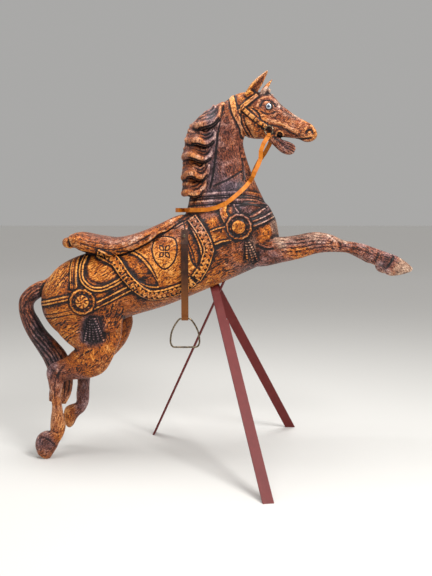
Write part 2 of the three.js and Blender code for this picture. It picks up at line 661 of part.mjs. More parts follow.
// The stand: flat bars let into the belly, cut level at the floor.
const bellyZ = 428 * unit;
for (const [name, { top, foot, broad, rebate }] of Object.entries(FEET)) {
  const exit = new THREE.Vector3(top[0], top[1], bellyZ);
  const toe = new THREE.Vector3(foot[0], foot[1], 0);
  const head = exit.clone().add(exit.clone().sub(toe).setLength(LEG_IN_BELLY));
  const along = head.clone().sub(toe).normalize();
  const wide = new THREE.Vector3(broad[0], broad[1], 0);
  wide.addScaledVector(along, -wide.dot(along)).normalize();
  const thick = new THREE.Vector3().crossVectors(along, wide);
  const length = head.distanceTo(toe);
  const spare = 60; // beyond the floor, cut away
  const stepAt = length - LEG_STEP_BELOW_BELLY - LEG_IN_BELLY;
  const half = LEG_WIDTH / 2;
  const outline = [[-half, -spare], [half, -spare], [half, stepAt], [half - rebate, stepAt + rebate],
    [half - rebate, length], [-half, length]];
  const bar = (extra) => {
    const shape = new THREE.Shape(outline.map(([a, b]) => new THREE.Vector2(a + Math.sign(a) * extra,
      b + (b === length ? extra : 0))));
    const depth = LEG_THICKNESS + 2 * extra;
    const geometry = new THREE.ExtrudeGeometry(shape, { depth, bevelEnabled: false });
    geometry.translate(0, 0, -depth / 2);
    geometry.applyMatrix4(new THREE.Matrix4().makeBasis(wide, along, thick.clone().negate()));
    return solid(geometry.translate(...toe.toArray()));
  };
  piece(name, geometryOf(bar(0).subtract(ground)), 'paint');
  horse = horse.subtract(bar(CLEARANCE));
}

piece('rein', geometryOf(rein), 'leather');
piece('horse', geometryOf(horse), 'wood');

// The origin is the middle of the whole, on the floor.
const whole = new THREE.Box3().setFromObject(model);
const middle = whole.getCenter(new THREE.Vector3());
model.position.set(-middle.x, -middle.y, -whole.min.z);

export default model;
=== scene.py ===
"""A carved and painted fairground galloper on a stand of painted flat bars."""
import math

import bmesh
import bpy
import numpy as np
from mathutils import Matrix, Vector
from mathutils.kdtree import KDTree


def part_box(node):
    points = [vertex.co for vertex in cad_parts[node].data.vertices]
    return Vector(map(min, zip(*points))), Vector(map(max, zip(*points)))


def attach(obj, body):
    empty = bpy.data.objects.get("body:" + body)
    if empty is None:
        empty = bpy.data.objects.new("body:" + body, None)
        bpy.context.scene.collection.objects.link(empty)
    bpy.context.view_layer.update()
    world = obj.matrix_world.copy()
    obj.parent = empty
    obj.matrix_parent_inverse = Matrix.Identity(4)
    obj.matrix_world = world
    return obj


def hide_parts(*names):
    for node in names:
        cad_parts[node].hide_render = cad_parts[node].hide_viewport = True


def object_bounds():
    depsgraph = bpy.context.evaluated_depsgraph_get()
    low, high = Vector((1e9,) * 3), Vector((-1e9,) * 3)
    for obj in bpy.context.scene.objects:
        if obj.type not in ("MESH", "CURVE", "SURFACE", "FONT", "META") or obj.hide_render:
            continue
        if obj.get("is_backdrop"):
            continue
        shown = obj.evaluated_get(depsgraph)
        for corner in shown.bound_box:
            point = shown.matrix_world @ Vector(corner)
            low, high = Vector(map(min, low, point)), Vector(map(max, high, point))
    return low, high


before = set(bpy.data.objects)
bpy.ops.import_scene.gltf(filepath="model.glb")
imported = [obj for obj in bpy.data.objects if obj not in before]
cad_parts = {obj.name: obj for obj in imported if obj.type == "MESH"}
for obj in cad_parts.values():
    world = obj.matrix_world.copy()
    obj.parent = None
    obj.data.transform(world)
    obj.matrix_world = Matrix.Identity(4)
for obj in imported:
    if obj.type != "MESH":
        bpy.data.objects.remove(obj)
cad_low, cad_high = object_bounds()

# The horse
# Laminated timber, carved in the round with its saddle, cloth, straps, mane and bridle, then stained
# golden, glazed dark in the hollows and varnished. The stations below are thousandths of its length:
# top x, top z, bottom x, bottom z, half width and the middle's y.
UNIT = 0.00162
HEAD_TURN = math.radians(-14)
HEAD_PIVOT = 60
EYE = (137, -22, 878)


def turned(points, angle):
    """Drawing points turned about the upright line on which the head turns."""
    out = np.array(points, float).reshape(-1, 3)
    x, y = out[:, 0] - HEAD_PIVOT, out[:, 1].copy()
    out[:, 0] = HEAD_PIVOT + x * math.cos(angle) - y * math.sin(angle)
    out[:, 1] = x * math.sin(angle) + y * math.cos(angle)
    return out


# Where the drawing's nought lies in the frame: its eye is the frame's eye.
eye_low, eye_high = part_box("eye_right")
PLACE = np.array((eye_low + eye_high) / 2) - turned([EYE], HEAD_TURN)[0] * UNIT


def spline(points, per):
    """A smooth line through the points, with `per` steps between each two."""
    p = np.array(points, float)
    p = np.vstack([2 * p[0] - p[1], p, 2 * p[-1] - p[-2]])
    out = []
    for a, b, c, d in zip(p, p[1:], p[2:], p[3:]):
        ab, bc, cd = (max(np.linalg.norm(v) ** 0.5, 1e-4) for v in (b - a, c - b, d - c))
        leave = ((b - a) / ab - (c - a) / (ab + bc) + (c - b) / bc) * bc
        reach = ((c - b) / bc - (d - b) / (bc + cd) + (d - c) / cd) * bc
        for i in range(per):
            t = i / per
            out.append(b * (2 * t**3 - 3 * t**2 + 1) + leave * (t**3 - 2 * t**2 + t)
                       + c * (3 * t**2 - 2 * t**3) + reach * (t**3 - t**2))
    return np.array(out + [p[-2]])


def circle(count):
    """Equal steps round a full turn."""
    return np.arange(count) / count * 2 * np.pi


def tube_faces(rings, sides):
    """The faces between the rings of a closed tube, and its two ends."""
    faces = []
    for i in range(rings - 1):
        for j in range(sides):
            a, b = i * sides + j, i * sides + (j + 1) % sides
            faces.append((a, b, b + sides, a + sides))
    faces.append(tuple(range(sides))[::-1])
    faces.append(tuple(range((rings - 1) * sides, rings * sides)))
    return faces


def mass(stations, sides=36, per=8, roundness=2.3, mirror=False, head=False):
    """One carved mass, round between its top and its bottom line."""
    table = np.array(stations, float)
    y = -table[:, 5] if mirror else table[:, 5]
    top = spline(np.column_stack([table[:, 0], y, table[:, 1]]), per)
    low = spline(np.column_stack([table[:, 2], y, table[:, 3]]), per)
    wide = spline(np.column_stack([np.arange(len(table)) * 40, table[:, 4]]), per)[:, 1]
    angle = circle(sides)
    power = 2 / roundness
    up = np.sign(np.cos(angle)) * np.abs(np.cos(angle)) ** power
    out = np.sign(np.sin(angle)) * np.abs(np.sin(angle)) ** power
    middle, half = (top + low) / 2, (top - low) / 2
    points = middle[:, None] + half[:, None] * up[None, :, None]
    points[:, :, 1] += wide[:, None] * out[None]
    points = points.reshape(-1, 3)
    if head:
        points = turned(points, HEAD_TURN)
    return points, tube_faces(len(top), sides)


def strand(line, radii, sides=12, per=6, flat=1.0, head=False):
    """A round strand along a line, as thick as `radii` says; `flat` squeezes it from side to side."""
    path = spline(line, per)
    radius = np.interp(np.linspace(0, 1, len(path)), np.linspace(0, 1, len(radii)), radii)
    along = np.gradient(path, axis=0)
    along /= np.linalg.norm(along, axis=1)[:, None]
    side = np.cross(along, (0, 1, 0))
    side /= np.linalg.norm(side, axis=1)[:, None]
    deep = np.cross(along, side)
    angle = circle(sides)
    points = (path[:, None] + radius[:, None, None] * (
        side[:, None] * np.cos(angle)[None, :, None] + flat * deep[:, None] * np.sin(angle)[None, :, None]))
    points = points.reshape(-1, 3)
    if head:
        points = turned(points, HEAD_TURN)
    return points, tube_faces(len(path), sides)


TORSO = [
    [-443, 417, -443, 379, 20, 0], [-437, 436, -434, 356, 44, 0], [-419, 465, -414, 328, 66, 0],
    [-388, 494, -384, 307, 83, 0], [-321, 522, -312, 308, 93, 0], [-239, 535, -231, 353, 88, 0],
    [-150, 566, -131, 385, 90, 0], [-76, 614, -20, 430, 92, 0], [10, 650, 69, 469, 86, 0],
    [60, 661, 102, 484, 78, 0], [100, 659, 132, 499, 66, 0], [129, 643, 150, 515, 52, 0],
    [150, 608, 161, 545, 28, 0],
]
NECK = [
    [-84, 598, 150, 560, 62, 0], [-70, 643, 126, 641, 54, 0], [-64, 690, 103, 690, 43, 0],
    [-63, 728, 88, 725, 37, 0], [-58, 773, 73, 770, 33, 0], [-43, 817, 68, 798, 31, 0],
    [-17, 859, 75, 817, 30, 0], [17, 893, 92, 837, 28, 0], [55, 914, 112, 856, 25, 0],
]
HEAD = [
    [37, 909, 60, 858, 20, 0], [65, 918, 76, 812, 28, 0], [104, 917, 100, 804, 31, 0],
    [142, 907, 123, 805, 28, 0], [165, 884, 143, 808, 23, 0], [207, 853, 188, 804, 17, 0],
    [229, 841, 208, 800, 16.5, 0], [242, 832, 225, 793, 16, 0], [251, 818, 240, 795, 12, 0],
    [253, 810, 249, 801, 6, 0],
]
JAW = [
    [112, 836, 104, 806, 20, 0], [140, 826, 130, 800, 17, 0], [163, 803, 148, 784, 14, 0],
    [182, 796, 165, 769, 13, 0], [196, 788, 184, 763, 11, 0], [201, 780, 195, 766, 5, 0],
]
FORELEG = [
    [70, 592, 62, 490, 24, -34], [120, 573, 117, 488, 27, -38], [164, 560, 164, 498, 24, -40],
    [203, 563, 209, 508, 20, -40], [238, 570, 244, 519, 19, -40], [265, 572, 266, 523, 19, -40],
    [290, 566, 284, 524, 17, -40], [313, 555, 303, 524, 14, -40], [338, 549, 328, 522, 12.5, -40],
    [365, 545, 353, 513, 12.5, -40], [390, 536, 376, 501, 14, -40], [413, 528, 396, 491, 14.5, -40],
    [432, 521, 412, 489, 13, -40], [447, 516, 418, 474, 15, -40], [461, 508, 434, 465, 18, -40],
    [478, 496, 459, 467, 15, -40], [491, 484, 486, 475, 7, -40],
]
HIND_RIGHT = [
    [-244, 425, -383, 415, 30, -42], [-234, 385, -408, 360, 37, -44], [-234, 350, -398, 327, 36, -46],
    [-238, 309, -371, 297, 33, -48], [-254, 269, -354, 283, 29, -49], [-282, 223, -362, 275, 25, -49],
    [-323, 206, -377, 261, 20, -49], [-361, 203, -397, 251, 16.5, -49], [-381, 199, -416, 242, 15, -49],
    [-386, 190, -427, 224, 14.5, -49], [-389, 176, -423, 197, 13.5, -49], [-392, 161, -419, 169, 12, -49],
    [-390, 135, -415, 135, 12, -49], [-385, 104, -419, 104, 13.5, -49], [-382, 80, -421, 82, 14, -49],
    [-389, 57, -422, 70, 13, -49], [-400, 38, -435, 70, 14, -49], [-406, 25, -453, 58, 17, -49],
    [-416, 10, -460, 36, 17, -49], [-426, -6, -455, 12, 12, -49],
]
HIND_LEFT = [
    [-247, 414, -384, 404, 30, 42], [-227, 372, -407, 345, 37, 44], [-219, 340, -397, 311, 36, 46],
    [-225, 311, -371, 278, 33, 48], [-241, 278, -350, 262, 28, 49], [-266, 249, -350, 262, 24, 49],
    [-298, 222, -361, 251, 20, 49], [-322, 203, -372, 238, 17, 49], [-333, 189, -375, 222, 15, 49],
    [-337, 167, -369, 178, 13, 49], [-338, 140, -373, 140, 12, 49], [-341, 116, -374, 118, 13, 49],
    [-352, 94, -385, 113, 14, 49], [-365, 83, -396, 109, 13.5, 49], [-373, 73, -404, 102, 16, 49],
    [-383, 55, -408, 77, 15, 49], [-392, 48, -403, 57, 9, 49],
]
TAIL = [
    [-408, 476, -425, 425, 14, 0], [-434, 453, -438, 413, 17, 0], [-457, 446, -451, 404, 19, 0],
    [-482, 430, -461, 397, 20, 0], [-501, 407, -468, 386, 20, 0], [-505, 379, -467, 371, 21, 0],
    [-498, 342, -456, 351, 22, 0], [-483, 307, -438, 321, 22, 0], [-462, 272, -410, 290, 21, 0],
    [-444, 240, -387, 261, 20, 0], [-433, 206, -374, 224, 18, 0], [-431, 177, -371, 188, 16, 0],
    [-434, 153, -377, 153, 14, 0], [-435, 134, -391, 126, 8, 0],
]
SADDLE = [
    [-366, 566, -352, 534, 64, 0], [-345, 573, -326, 522, 76, 0], [-294, 565, -290, 516, 82, 0],
    [-250, 560, -250, 512, 80, 0], [-193, 573, -190, 530, 74, 0], [-142, 594, -145, 556, 62, 0],
    [-104, 612, -112, 572, 50, 0], [-86, 617, -92, 586, 36, 0], [-78, 616, -84, 596, 22, 0],
]
masses = [mass(TORSO, 64, 12), mass(NECK, 48), mass(HEAD, head=True), mass(JAW, head=True),
          mass(FORELEG), mass(FORELEG, mirror=True), mass(HIND_RIGHT), mass(HIND_LEFT), mass(TAIL),
          mass(SADDLE, 48, 12, 3)]

# The cantle rolls back on itself like a scroll, from side to side over the horse's back.
cantle_path = spline([(-358, -54, 546), (-369, -38, 547), (-373, -20, 547), (-374, 0, 547), (-373, 20, 547),
                      (-369, 38, 547), (-358, 54, 546)], 8)
ROLL_RADIUS = 13
roll = [p + ROLL_RADIUS * np.array([math.cos(a), 0, math.sin(a)]) for p in cantle_path for a in circle(20)]
masses.append((roll, tube_faces(len(cantle_path), 20)))


def ear(base, tip, wide):
    """A leaf-shaped ear, hollowed in front."""
    base, tip = Vector(base), Vector(tip)
    along = (tip - base).normalized()
    ahead = Vector((1, -0.6 if base.y < 0 else 0.6, 0))
    ahead = (ahead - along * ahead.dot(along)).normalized()
    side = along.cross(ahead)
    profile = spline([(-0.25, 0.8), (0, 0.95), (0.2, 1), (0.45, 0.86), (0.75, 0.5), (0.93, 0.22),
                      (1, 0.05)], 4)
    points = []
    for share, reach in profile:
        for a in circle(28):
            front = max(0, math.cos(a)) ** 2 * (0.8 if share > 0.05 else 0.2)
            r = reach * wide
            at = base.lerp(tip, share) + side * (r * 0.85 * math.sin(a))
            at += ahead * (r * 0.62 * (math.cos(a) - 1.25 * front))
            points.append(at[:])
    return turned(points, HEAD_TURN), tube_faces(len(profile), 28)


masses.append(ear((93, -20, 916), (136, -24, 966), 17))
masses.append(ear((112, 18, 914), (139, 24, 954), 13))
# The forelock: three strands swept up to a point between the ears.
for line, thick in [([(110, -4, 896), (119, -8, 912), (130, -8, 930)], [10, 9, 3]),
                    ([(117, 0, 896), (127, 0, 912), (136, 0, 924)], [10, 8, 3]),
                    ([(124, 5, 894), (134, 6, 906), (142, 5, 912)], [9, 6, 3])]:
    masses.append(strand(line, thick, head=True))

# The mane: each lock is a sheaf of strands that leaves the crest, swings out and curls up at its end.
LOCKS = [
    [[(-52, 838), (-44, 832), (-30, 834), (-14, 838), (-1, 846), (8, 858), (11, 880)],
     [(-46, 846), (-38, 842), (-26, 846), (-11, 850), (0, 859), (5, 870), (5, 884)],
     [(-36, 856), (-30, 853), (-20, 857), (-10, 862), (-2, 871), (-1, 884)],
     [(-25, 866), (-19, 865), (-12, 870), (-7, 877), (-6, 886)]],
    [[(-72, 801), (-60, 796), (-43, 795), (-27, 790), (-14, 794), (-5, 803), (-1, 818)],
     [(-69, 813), (-58, 806), (-42, 805), (-27, 801), (-15, 805), (-8, 814), (-6, 824)],
     [(-66, 824), (-54, 816), (-40, 815), (-26, 812), (-16, 817), (-11, 826)],
     [(-61, 836), (-48, 826), (-36, 825), (-25, 824), (-18, 831)]],
    [[(-80, 757), (-68, 762), (-54, 759), (-39, 753), (-25, 753), (-14, 762), (-9, 778)],
     [(-79, 767), (-67, 771), (-53, 768), (-39, 763), (-26, 763), (-17, 772), (-14, 783)],
     [(-77, 779), (-64, 780), (-51, 777), (-38, 773), (-27, 774), (-20, 784)],
     [(-73, 791), (-60, 789), (-48, 786), (-37, 783), (-28, 788)]],
    [[(-81, 707), (-71, 715), (-58, 716), (-43, 708), (-31, 709), (-21, 721), (-16, 740)],
     [(-81, 719), (-70, 725), (-57, 725), (-43, 718), (-32, 720), (-24, 731), (-21, 745)],
     [(-80, 731), (-68, 734), (-55, 734), (-42, 728), (-33, 731), (-27, 743)],
     [(-79, 744), (-66, 744), (-54, 744), (-43, 739), (-35, 746)]],
    [[(-80, 669), (-68, 671), (-54, 667), (-40, 671), (-30, 684), (-25, 703)],
     [(-80, 680), (-68, 681), (-55, 677), (-43, 682), (-34, 693), (-30, 706)],
     [(-80, 692), (-67, 691), (-55, 688), (-45, 693), (-37, 706)],
     [(-80, 704), (-66, 701), (-55, 699), (-46, 707)]],
]
for sheaf in LOCKS:
    for rank, line in enumerate(sheaf):
        last = len(line) - 1
        out = 53 - 7 * rank
        bulk = 1.3 if rank == 0 else 0.92
        path = [(line[0][0] + 9, 6, line[0][1] + 1)]
        for i, (x, z) in enumerate(line):
            share = i / last
            swell = min(1, 0.3 + 2.6 * share) - 0.16 * max(0, share - 0.6)
            path.append((x, -out * swell, z))
        masses.append(strand(path, [r * bulk for r in (3, 6.5, 7.8, 7.6, 6.4, 4.6, 2.2)], sides=14, per=5))
# Under the locks the mane's root lies along the crest.
masses.append(strand([(22, -14, 888), (-8, -16, 868), (-42, -18, 838), (-60, -20, 800), (-64, -20, 760),
                      (-66, -20, 715), (-68, -22, 672)], [9, 12, 14, 14, 13, 12, 11], per=6))

# Under each rosette a disc is seated in the body on both sides: its centre's x and z, and the depth of
# the skin there.
ROSETTES = [(55, 587, 83), (-325, 406, 92)]
ROSETTE_RADIUS = 32
for x, z, depth in ROSETTES:
    for side in (-1, 1):
        rings = []
        for share, at in [(1, 40), (1.02, depth - 1), (0.94, depth + 2), (0.6, depth + 3), (0.3, depth + 3)]:
            reach = ROSETTE_RADIUS * share
            rings += [(x + reach * math.cos(a), side * at, z + reach * math.sin(a)) for a in circle(40)]
        masses.append((rings, tube_faces(5, 40)))
# Under each tassel hangs a flat, widening lump.
for x, z, length, width, depth in [(76, 562, 56, 14, 78), (-302, 376, 66, 22, 84)]:
    for side in (-1, 1):
        hang = [(x, side * (depth - 4), z), (x + 2, side * depth, z - length * 0.2),
                (x + 4, side * (depth - 2), z - length * 0.6), (x + 6, side * (depth - 8), z - length)]
        masses.append(strand(hang, [4, width * 0.5, width * 0.75, width * 0.85], sides=20, flat=0.45))

FINE_VOXEL = 0.0032
VOXEL = FINE_VOXEL


def shown(name, data):
    """A new object in the scene."""
    thing = bpy.data.objects.new(name, data)
    bpy.context.scene.collection.objects.link(thing)
    return thing


def read(items, name, width, kind=float):
    """One property of all the items, a row each."""
    values = np.empty(len(items) * width, kind)
    items.foreach_get(name, values)
    return values.reshape(-1, width)


def settled(thing):
    """Applies the modifiers."""
    graph = bpy.context.evaluated_depsgraph_get()
    mesh = bpy.data.meshes.new_from_object(thing.evaluated_get(graph))
    thing.modifiers.clear()
    old, thing.data = thing.data, mesh
    bpy.data.meshes.remove(old)


points, faces = [], []
for mass_points, mass_faces in masses:
    faces += [tuple(i + len(points) for i in face) for face in mass_faces]
    points += (np.array(mass_points, float) * UNIT + PLACE).tolist()
mesh = bpy.data.meshes.new("horse_carving")
mesh.from_pydata(points, [], faces)
work = bmesh.new()
work.from_mesh(mesh)
bmesh.ops.recalc_face_normals(work, faces=work.faces[:])
work.to_mesh(mesh)
work.free()
horse = shown("horse_carving", mesh)
remesh = horse.modifiers.new("one timber", "REMESH")
remesh.mode = "VOXEL"
remesh.voxel_size = VOXEL
settled(horse)


def relaxed(co, pairs, count, pull=0.5):
    """The points, each drawn towards the middle of its neighbours `count` times."""
    co = co.copy()
    size = len(co)
    a, b = pairs.T
    degree = np.maximum(np.bincount(a, minlength=size) + np.bincount(b, minlength=size), 1)
    columns = co.reshape(size, -1)
    for _ in range(count):
        for k in range(columns.shape[1]):
            total = np.bincount(a, columns[b, k], size) + np.bincount(b, columns[a, k], size)
            columns[:, k] += pull * (total / degree - columns[:, k])
    return columns.reshape(co.shape)


def normals(mesh, co):
    """Moves the mesh's points and gives its normals there."""
    mesh.vertices.foreach_set("co", co.ravel())
    mesh.update()
    return read(mesh.vertex_normals, "vector", 3)


pairs = read(horse.data.edges, "vertices", 2, np.int64)
skin = relaxed(read(horse.data.vertices, "co", 3), pairs, 6)
normal = normals(horse.data, skin)

# Each point of the skin, back in the side drawing with the head turned straight.
drawn = (skin - PLACE) / UNIT
straight = turned(drawn, -HEAD_TURN)
THROAT = 757
on_head = (drawn[:, 0] > HEAD_PIVOT) & (drawn[:, 2] > THROAT)
drawn[on_head] = straight[on_head]
X, Y, Z = drawn.T
# How squarely the skin faces the side view, then the relief in millimetres and the share of dark, which is
# glaze in the carving and painted shade in its deepest gaps and behind the rein's ring.
faces_out = np.clip((normal[:, 1] * np.sign(Y) - 0.12) / 0.4, 0, 1)
relief = np.zeros(len(skin))
glaze_and_painted_shade = np.zeros(len(skin))


def smooth_step(low, high, value):
    """Nought below low, one above high, and a soft rise between."""
    t = np.clip((value - low) / (high - low), 0, 1)
    return t * t * (3 - 2 * t)


def bell(offset, width):
    return np.exp(-(offset / width) ** 2)


def carve(index, height):
    relief[index] += height * faces_out[index]


def darken(index, share):
    """Leaves at least this share of dark, which is glaze in the carving and painted shade where it stands for
    a shadow.
    """
    glaze_and_painted_shade[index] = np.maximum(glaze_and_painted_shade[index], share)


def segments(path, x, z):
    """For each step of a path: how far off the points lie, how far left of it, and how far along."""
    walked = 0.0
    for a, b in zip(path, path[1:]):
        step = b - a
        length = max(np.hypot(*step), 1e-6)
        share = np.clip(((x - a[0]) * step[0] + (z - a[1]) * step[1]) / length**2, 0, 1)
        away = np.hypot(x - a[0] - share * step[0], z - a[1] - share * step[1])
        left = (step[0] * (z - a[1]) - step[1] * (x - a[0])) / length
        yield away, left, walked + share * length
        walked += length


def within(path, margin, where=True):
    """The skin's outward points in the path's box."""
    low, high = path.min(0) - margin, path.max(0) + margin
    in_box = (X > low[0]) & (X < high[0]) & (Z > low[1]) & (Z < high[1])
    return np.nonzero(in_box & (faces_out > 0) & where)[0]


def near(line, reach, per=5, where=True):
    """The skin's points near a drawn line, how far to its left and along they lie, and the line's length."""
    path = spline(line, per) if len(line) > 2 else np.array(line, float)
    index = within(path, reach, where)
    best = np.full(len(index), 1e9)
    offset, run = np.zeros(len(index)), np.zeros(len(index))
    for away, left, along in segments(path, X[index], Z[index]):
        closer = away < best
        best = np.where(closer, away, best)
        offset = np.where(closer, np.copysign(away, left), offset)
        run = np.where(closer, along, run)
    chosen = best < reach
    length = np.hypot(*np.diff(path, axis=0).T).sum()
    return index[chosen], offset[chosen], run[chosen], length


def cut(line, depth, width, dark=0.8, where=True):
    """A V-shaped line of the gouge, with glaze left in it; where it marks a deep gap, the dark is painted
    shade.
    """
    index, offset, run, length = near(line, width * 3, where=where)
    ends = smooth_step(-1, width * 2, np.minimum(run, length - run) + 2)
    shape = bell(offset, width) * ends
    carve(index, -depth * shape)
    darken(index, dark * shape)


def ridge(line, height, width, where=True):
    """A rounded raised line."""
    index, offset, _, _ = near(line, width * 3, where=where)
    carve(index, height * bell(offset, width))


def strap(line, half, height, rims=True, leaves=0.0, where=True, edge=1.6):
    """A carved strap with rolled rims and, if wanted, leaves nicked in from both sides in turn."""
    index, offset, run, length = near(line, half + edge * 4, 6, where)
    away = np.abs(offset)
    ends = smooth_step(0, 2, run) * smooth_step(0, 2, length - run)
    shape = (1 - smooth_step(half - edge * 0.5, half + edge * 0.6, away)) * ends
    lift = np.full(len(index), float(height))
    if rims:
        lift += 1.1 * bell(away - half + 1.9, 1.2) - 1.6 * (1 - smooth_step(half - 5.0, half - 3.2, away))
        darken(index, 0.6 * ends * bell(away - half + 4.2, 0.9))
    if leaves:
        tooth = np.abs((run / leaves + np.where(offset > 0, 0.0, 0.5)) % 1 - 0.5) * 2
        field = away < half - 3.4
        notch = smooth_step(0, 0.35, (away - 1.0) / (half - 4.5) - tooth * 1.25) * field
        lift += 2.2 * field - 3.2 * notch
        darken(index, 0.8 * notch * ends)
    carve(index, lift * shape)
    darken(index, 0.7 * ends * bell(away - half - edge, 1.2))


def panel(polygon, height, dark=0.9, per=4, edge=2.0):
    """A field raised or sunk inside its outline, which is smooth unless `per` is 1."""
    path = np.array([*polygon, polygon[0]], float)
    if per > 1:
        path = spline(path, per)
    index = within(path, 8)
    x, z = X[index], Z[index]
    best, inside = np.full(len(index), 1e9), np.zeros(len(index), bool)
    for a, b, (away, _, _) in zip(path, path[1:], segments(path, x, z)):
        best = np.minimum(best, away)
        if a[1] != b[1]:
            crossing = a[0] + (z - a[1]) / (b[1] - a[1]) * (b[0] - a[0])
            inside ^= (z > min(a[1], b[1])) & (z <= max(a[1], b[1])) & (x < crossing)
    depth = np.where(inside, best, -best)
    carve(index, height * smooth_step(-edge * 0.5, edge, depth))
    darken(index, dark * bell(depth + math.copysign(edge, height) * 0.5, 1.5))


def oval(x, z, reach_x, reach_z, angles):
    """The points of an oval at some angles."""
    return [(x + reach_x * math.cos(a), z + reach_z * math.sin(a)) for a in angles]


# The saddle cloth with its two leaf-worked borders.
CLOTH_FRONT = [(-50, 616), (-27, 585), (-12, 556), (-5, 532), (-10, 512), (-19, 488), (-39, 456)]
CLOTH_REAR = [(-46, 452), (-66, 435), (-92, 424), (-124, 414), (-161, 410), (-185, 420), (-209, 439),
              (-233, 466), (-257, 498), (-304, 524)]
FLAP = [(-340, 524), (-325, 527), (-291, 520), (-260, 515), (-235, 519), (-210, 526), (-186, 538),
        (-161, 552), (-140, 569), (-120, 576), (-104, 587), (-86, 598), (-66, 608)]
panel(CLOTH_FRONT + CLOTH_REAR + FLAP[3:], 4.5, dark=0.6, per=1)
for outer in (CLOTH_FRONT, CLOTH_REAR):
    centre = []
    for x, z in outer:
        way = Vector((-140 - x, 520 - z)).normalized()
        centre.append((x + way.x * 12.5, z + way.y * 12.5))
    strap(centre, 12.2, 6, leaves=11.5)

# The leaf panels inside the borders.
panel([(-66, 590), (-52, 566), (-41, 540), (-36, 512), (-44, 488), (-58, 500), (-66, 528), (-74, 556)], -3)
ridge([(-60, 588), (-46, 560), (-36, 532), (-40, 500)], 3, 2.2)
panel([(-240, 520), (-216, 522), (-190, 514), (-168, 494), (-148, 466), (-140, 446), (-166, 446), (-196, 462),
       (-222, 492)], -3)
ridge([(-246, 514), (-222, 488), (-196, 460), (-168, 446), (-142, 443)], 3.2, 2.4)
cut([(-240, 526), (-212, 528), (-184, 518), (-160, 496), (-142, 462)], 2.5, 1.6)
cut([(-78, 596), (-70, 560), (-56, 524), (-48, 490)], 2, 1.4)

# A plain rounded cartouche on the cloth, with a four-petalled flower.
cartouche = [(-150, 556), (-124, 562), (-99, 556), (-94, 530), (-103, 502), (-124, 486), (-145, 502),
             (-155, 530), (-150, 556)]
panel(cartouche[:-1], 2, dark=0.2)
cut(cartouche, 2.6, 1.6, 0.95)
for degrees in (45, 135, 225, 315):
    a = math.radians(degrees)
    for bend in (-0.42, 0.42):
        cut(oval(-124, 527, 3, 3, [a]) + oval(-124, 527, 11, 12, [a + bend]) + oval(-124, 527, 17, 19, [a]),
            2.2, 1.2, 0.9)

# The saddle's flap: a rolled lower edge over the cloth.
ridge([(x, z + 4) for x, z in FLAP], 3, 3)
cut([(x, z - 2) for x, z in FLAP], 4, 1.9, 0.85)
cut([(-330, 548), (-290, 536), (-245, 532), (-200, 546), (-160, 568)], 1.2, 1.8, 0.3)
cut([(-340, 560), (-300, 550), (-250, 546), (-205, 558)], 1, 1.6, 0.2)
cut([(-112, 582), (-98, 582), (-84, 590), (-68, 598)], 2, 1.6, 0.8)

# Straps over the croup and the flank.
strap([(-346, 532), (-348, 480), (-345, 436)], 9, 6)
cut([(-346, 530), (-347.5, 480), (-345, 438)], 2.4, 1.2, 0.6)
looped = [(-322, 517), (-329, 488), (-324, 458), (-302, 439), (-278, 437), (-246, 450), (-214, 470)]
strap(looped, 5.5, 5, rims=False)
cut(looped, 3.2, 1.5, 0.9)
cut([(-311, 517), (-317, 490), (-311, 466), (-294, 453), (-276, 451), (-250, 461), (-224, 478)],
    1.4, 4.5, 0.35)
breeching = [(-443, 394), (-418, 400), (-362, 414), (-346, 416)]
strap(breeching, 6, 4, rims=False)
cut(breeching, 2, 1.2, 0.7)
strap([(-302, 393), (-280, 403), (-219, 434), (-196, 446)], 7.5, 5)
cut([(-430, 358), (-407, 362), (-352, 374)], 1.8, 1.4, 0.6)
cut([(-428, 368), (-407, 372), (-356, 384)], 1.4, 1.2, 0.4)

# Breast strap, shoulder block and the collar's foot.
strap([(72, 588), (115, 604), (160, 628)], 7.5, 5.5)
strap([(36, 572), (12, 568), (-10, 560)], 18, 4.5)
cut([(30, 559), (12, 556), (-6, 549)], 1.8, 1.2, 0.6)
strap([(20, 642), (17, 622), (27, 600)], 8, 4.5, rims=False)
panel([(46, 638), (62, 618), (84, 616), (108, 628), (128, 640), (100, 643), (70, 643)], -3)
ridge([(44, 641), (60, 616), (84, 611), (112, 626), (136, 643)], 2.6, 2)
cut([(98, 544), (122, 532), (140, 534)], 2.4, 3, 0.5)
ridge([(118, 570), (126, 563)], 4, 9)

# Rosettes: a scalloped rim, radiating petals and a domed button, with a whirl in the hind one.
for x, z, _ in ROSETTES:
    radius = ROSETTE_RADIUS
    index = np.nonzero((np.hypot(X - x, Z - z) < radius + 4) & (faces_out > 0) & (np.abs(Y) > 40))[0]
    reach = np.hypot(X[index] - x, Z[index] - z)
    angle = np.arctan2(Z[index] - z, X[index] - x)
    scallop = radius * (0.93 + 0.07 * np.abs(np.sin(angle * 6)))
    hollow = bell(reach - radius * 0.72, 3.2)
    petal = np.abs(np.sin(angle * 6)) * (reach < scallop - 3)
    petal *= smooth_step(radius * 0.55, radius * 0.7, reach)
    button = np.sqrt(np.clip(1 - (reach / (radius * 0.53)) ** 2, 0, 1))
    height = 1.9 * bell(reach - scallop + 2.6, 2.0) - 3.6 * hollow + 3.0 * petal + 6.0 * button
    shade = np.maximum(0.8 * hollow * (1 - 0.85 * petal), 0.85 * bell(reach - radius * 0.55, 1.4))
    shade = np.maximum(shade, 0.6 * bell(reach - scallop + 5.4, 1.1))
    if x < 0:
        whirl = (reach < radius * 0.5) * np.abs(np.sin(angle * 4 + reach * 0.15))
        height += 1.4 * whirl
        shade = np.maximum(shade, 0.5 * (reach < radius * 0.5) * (reach > 5) * (whirl < 0.35))
    on_disc = smooth_step(radius + 1.5, radius - 0.5, reach)
    relief[index] += (height * faces_out[index] - relief[index]) * on_disc
    glaze_and_painted_shade[index] += (shade - glaze_and_painted_shade[index]) * on_disc
    darken(index, 0.9 * bell(reach - scallop - 1.5, 1.6))

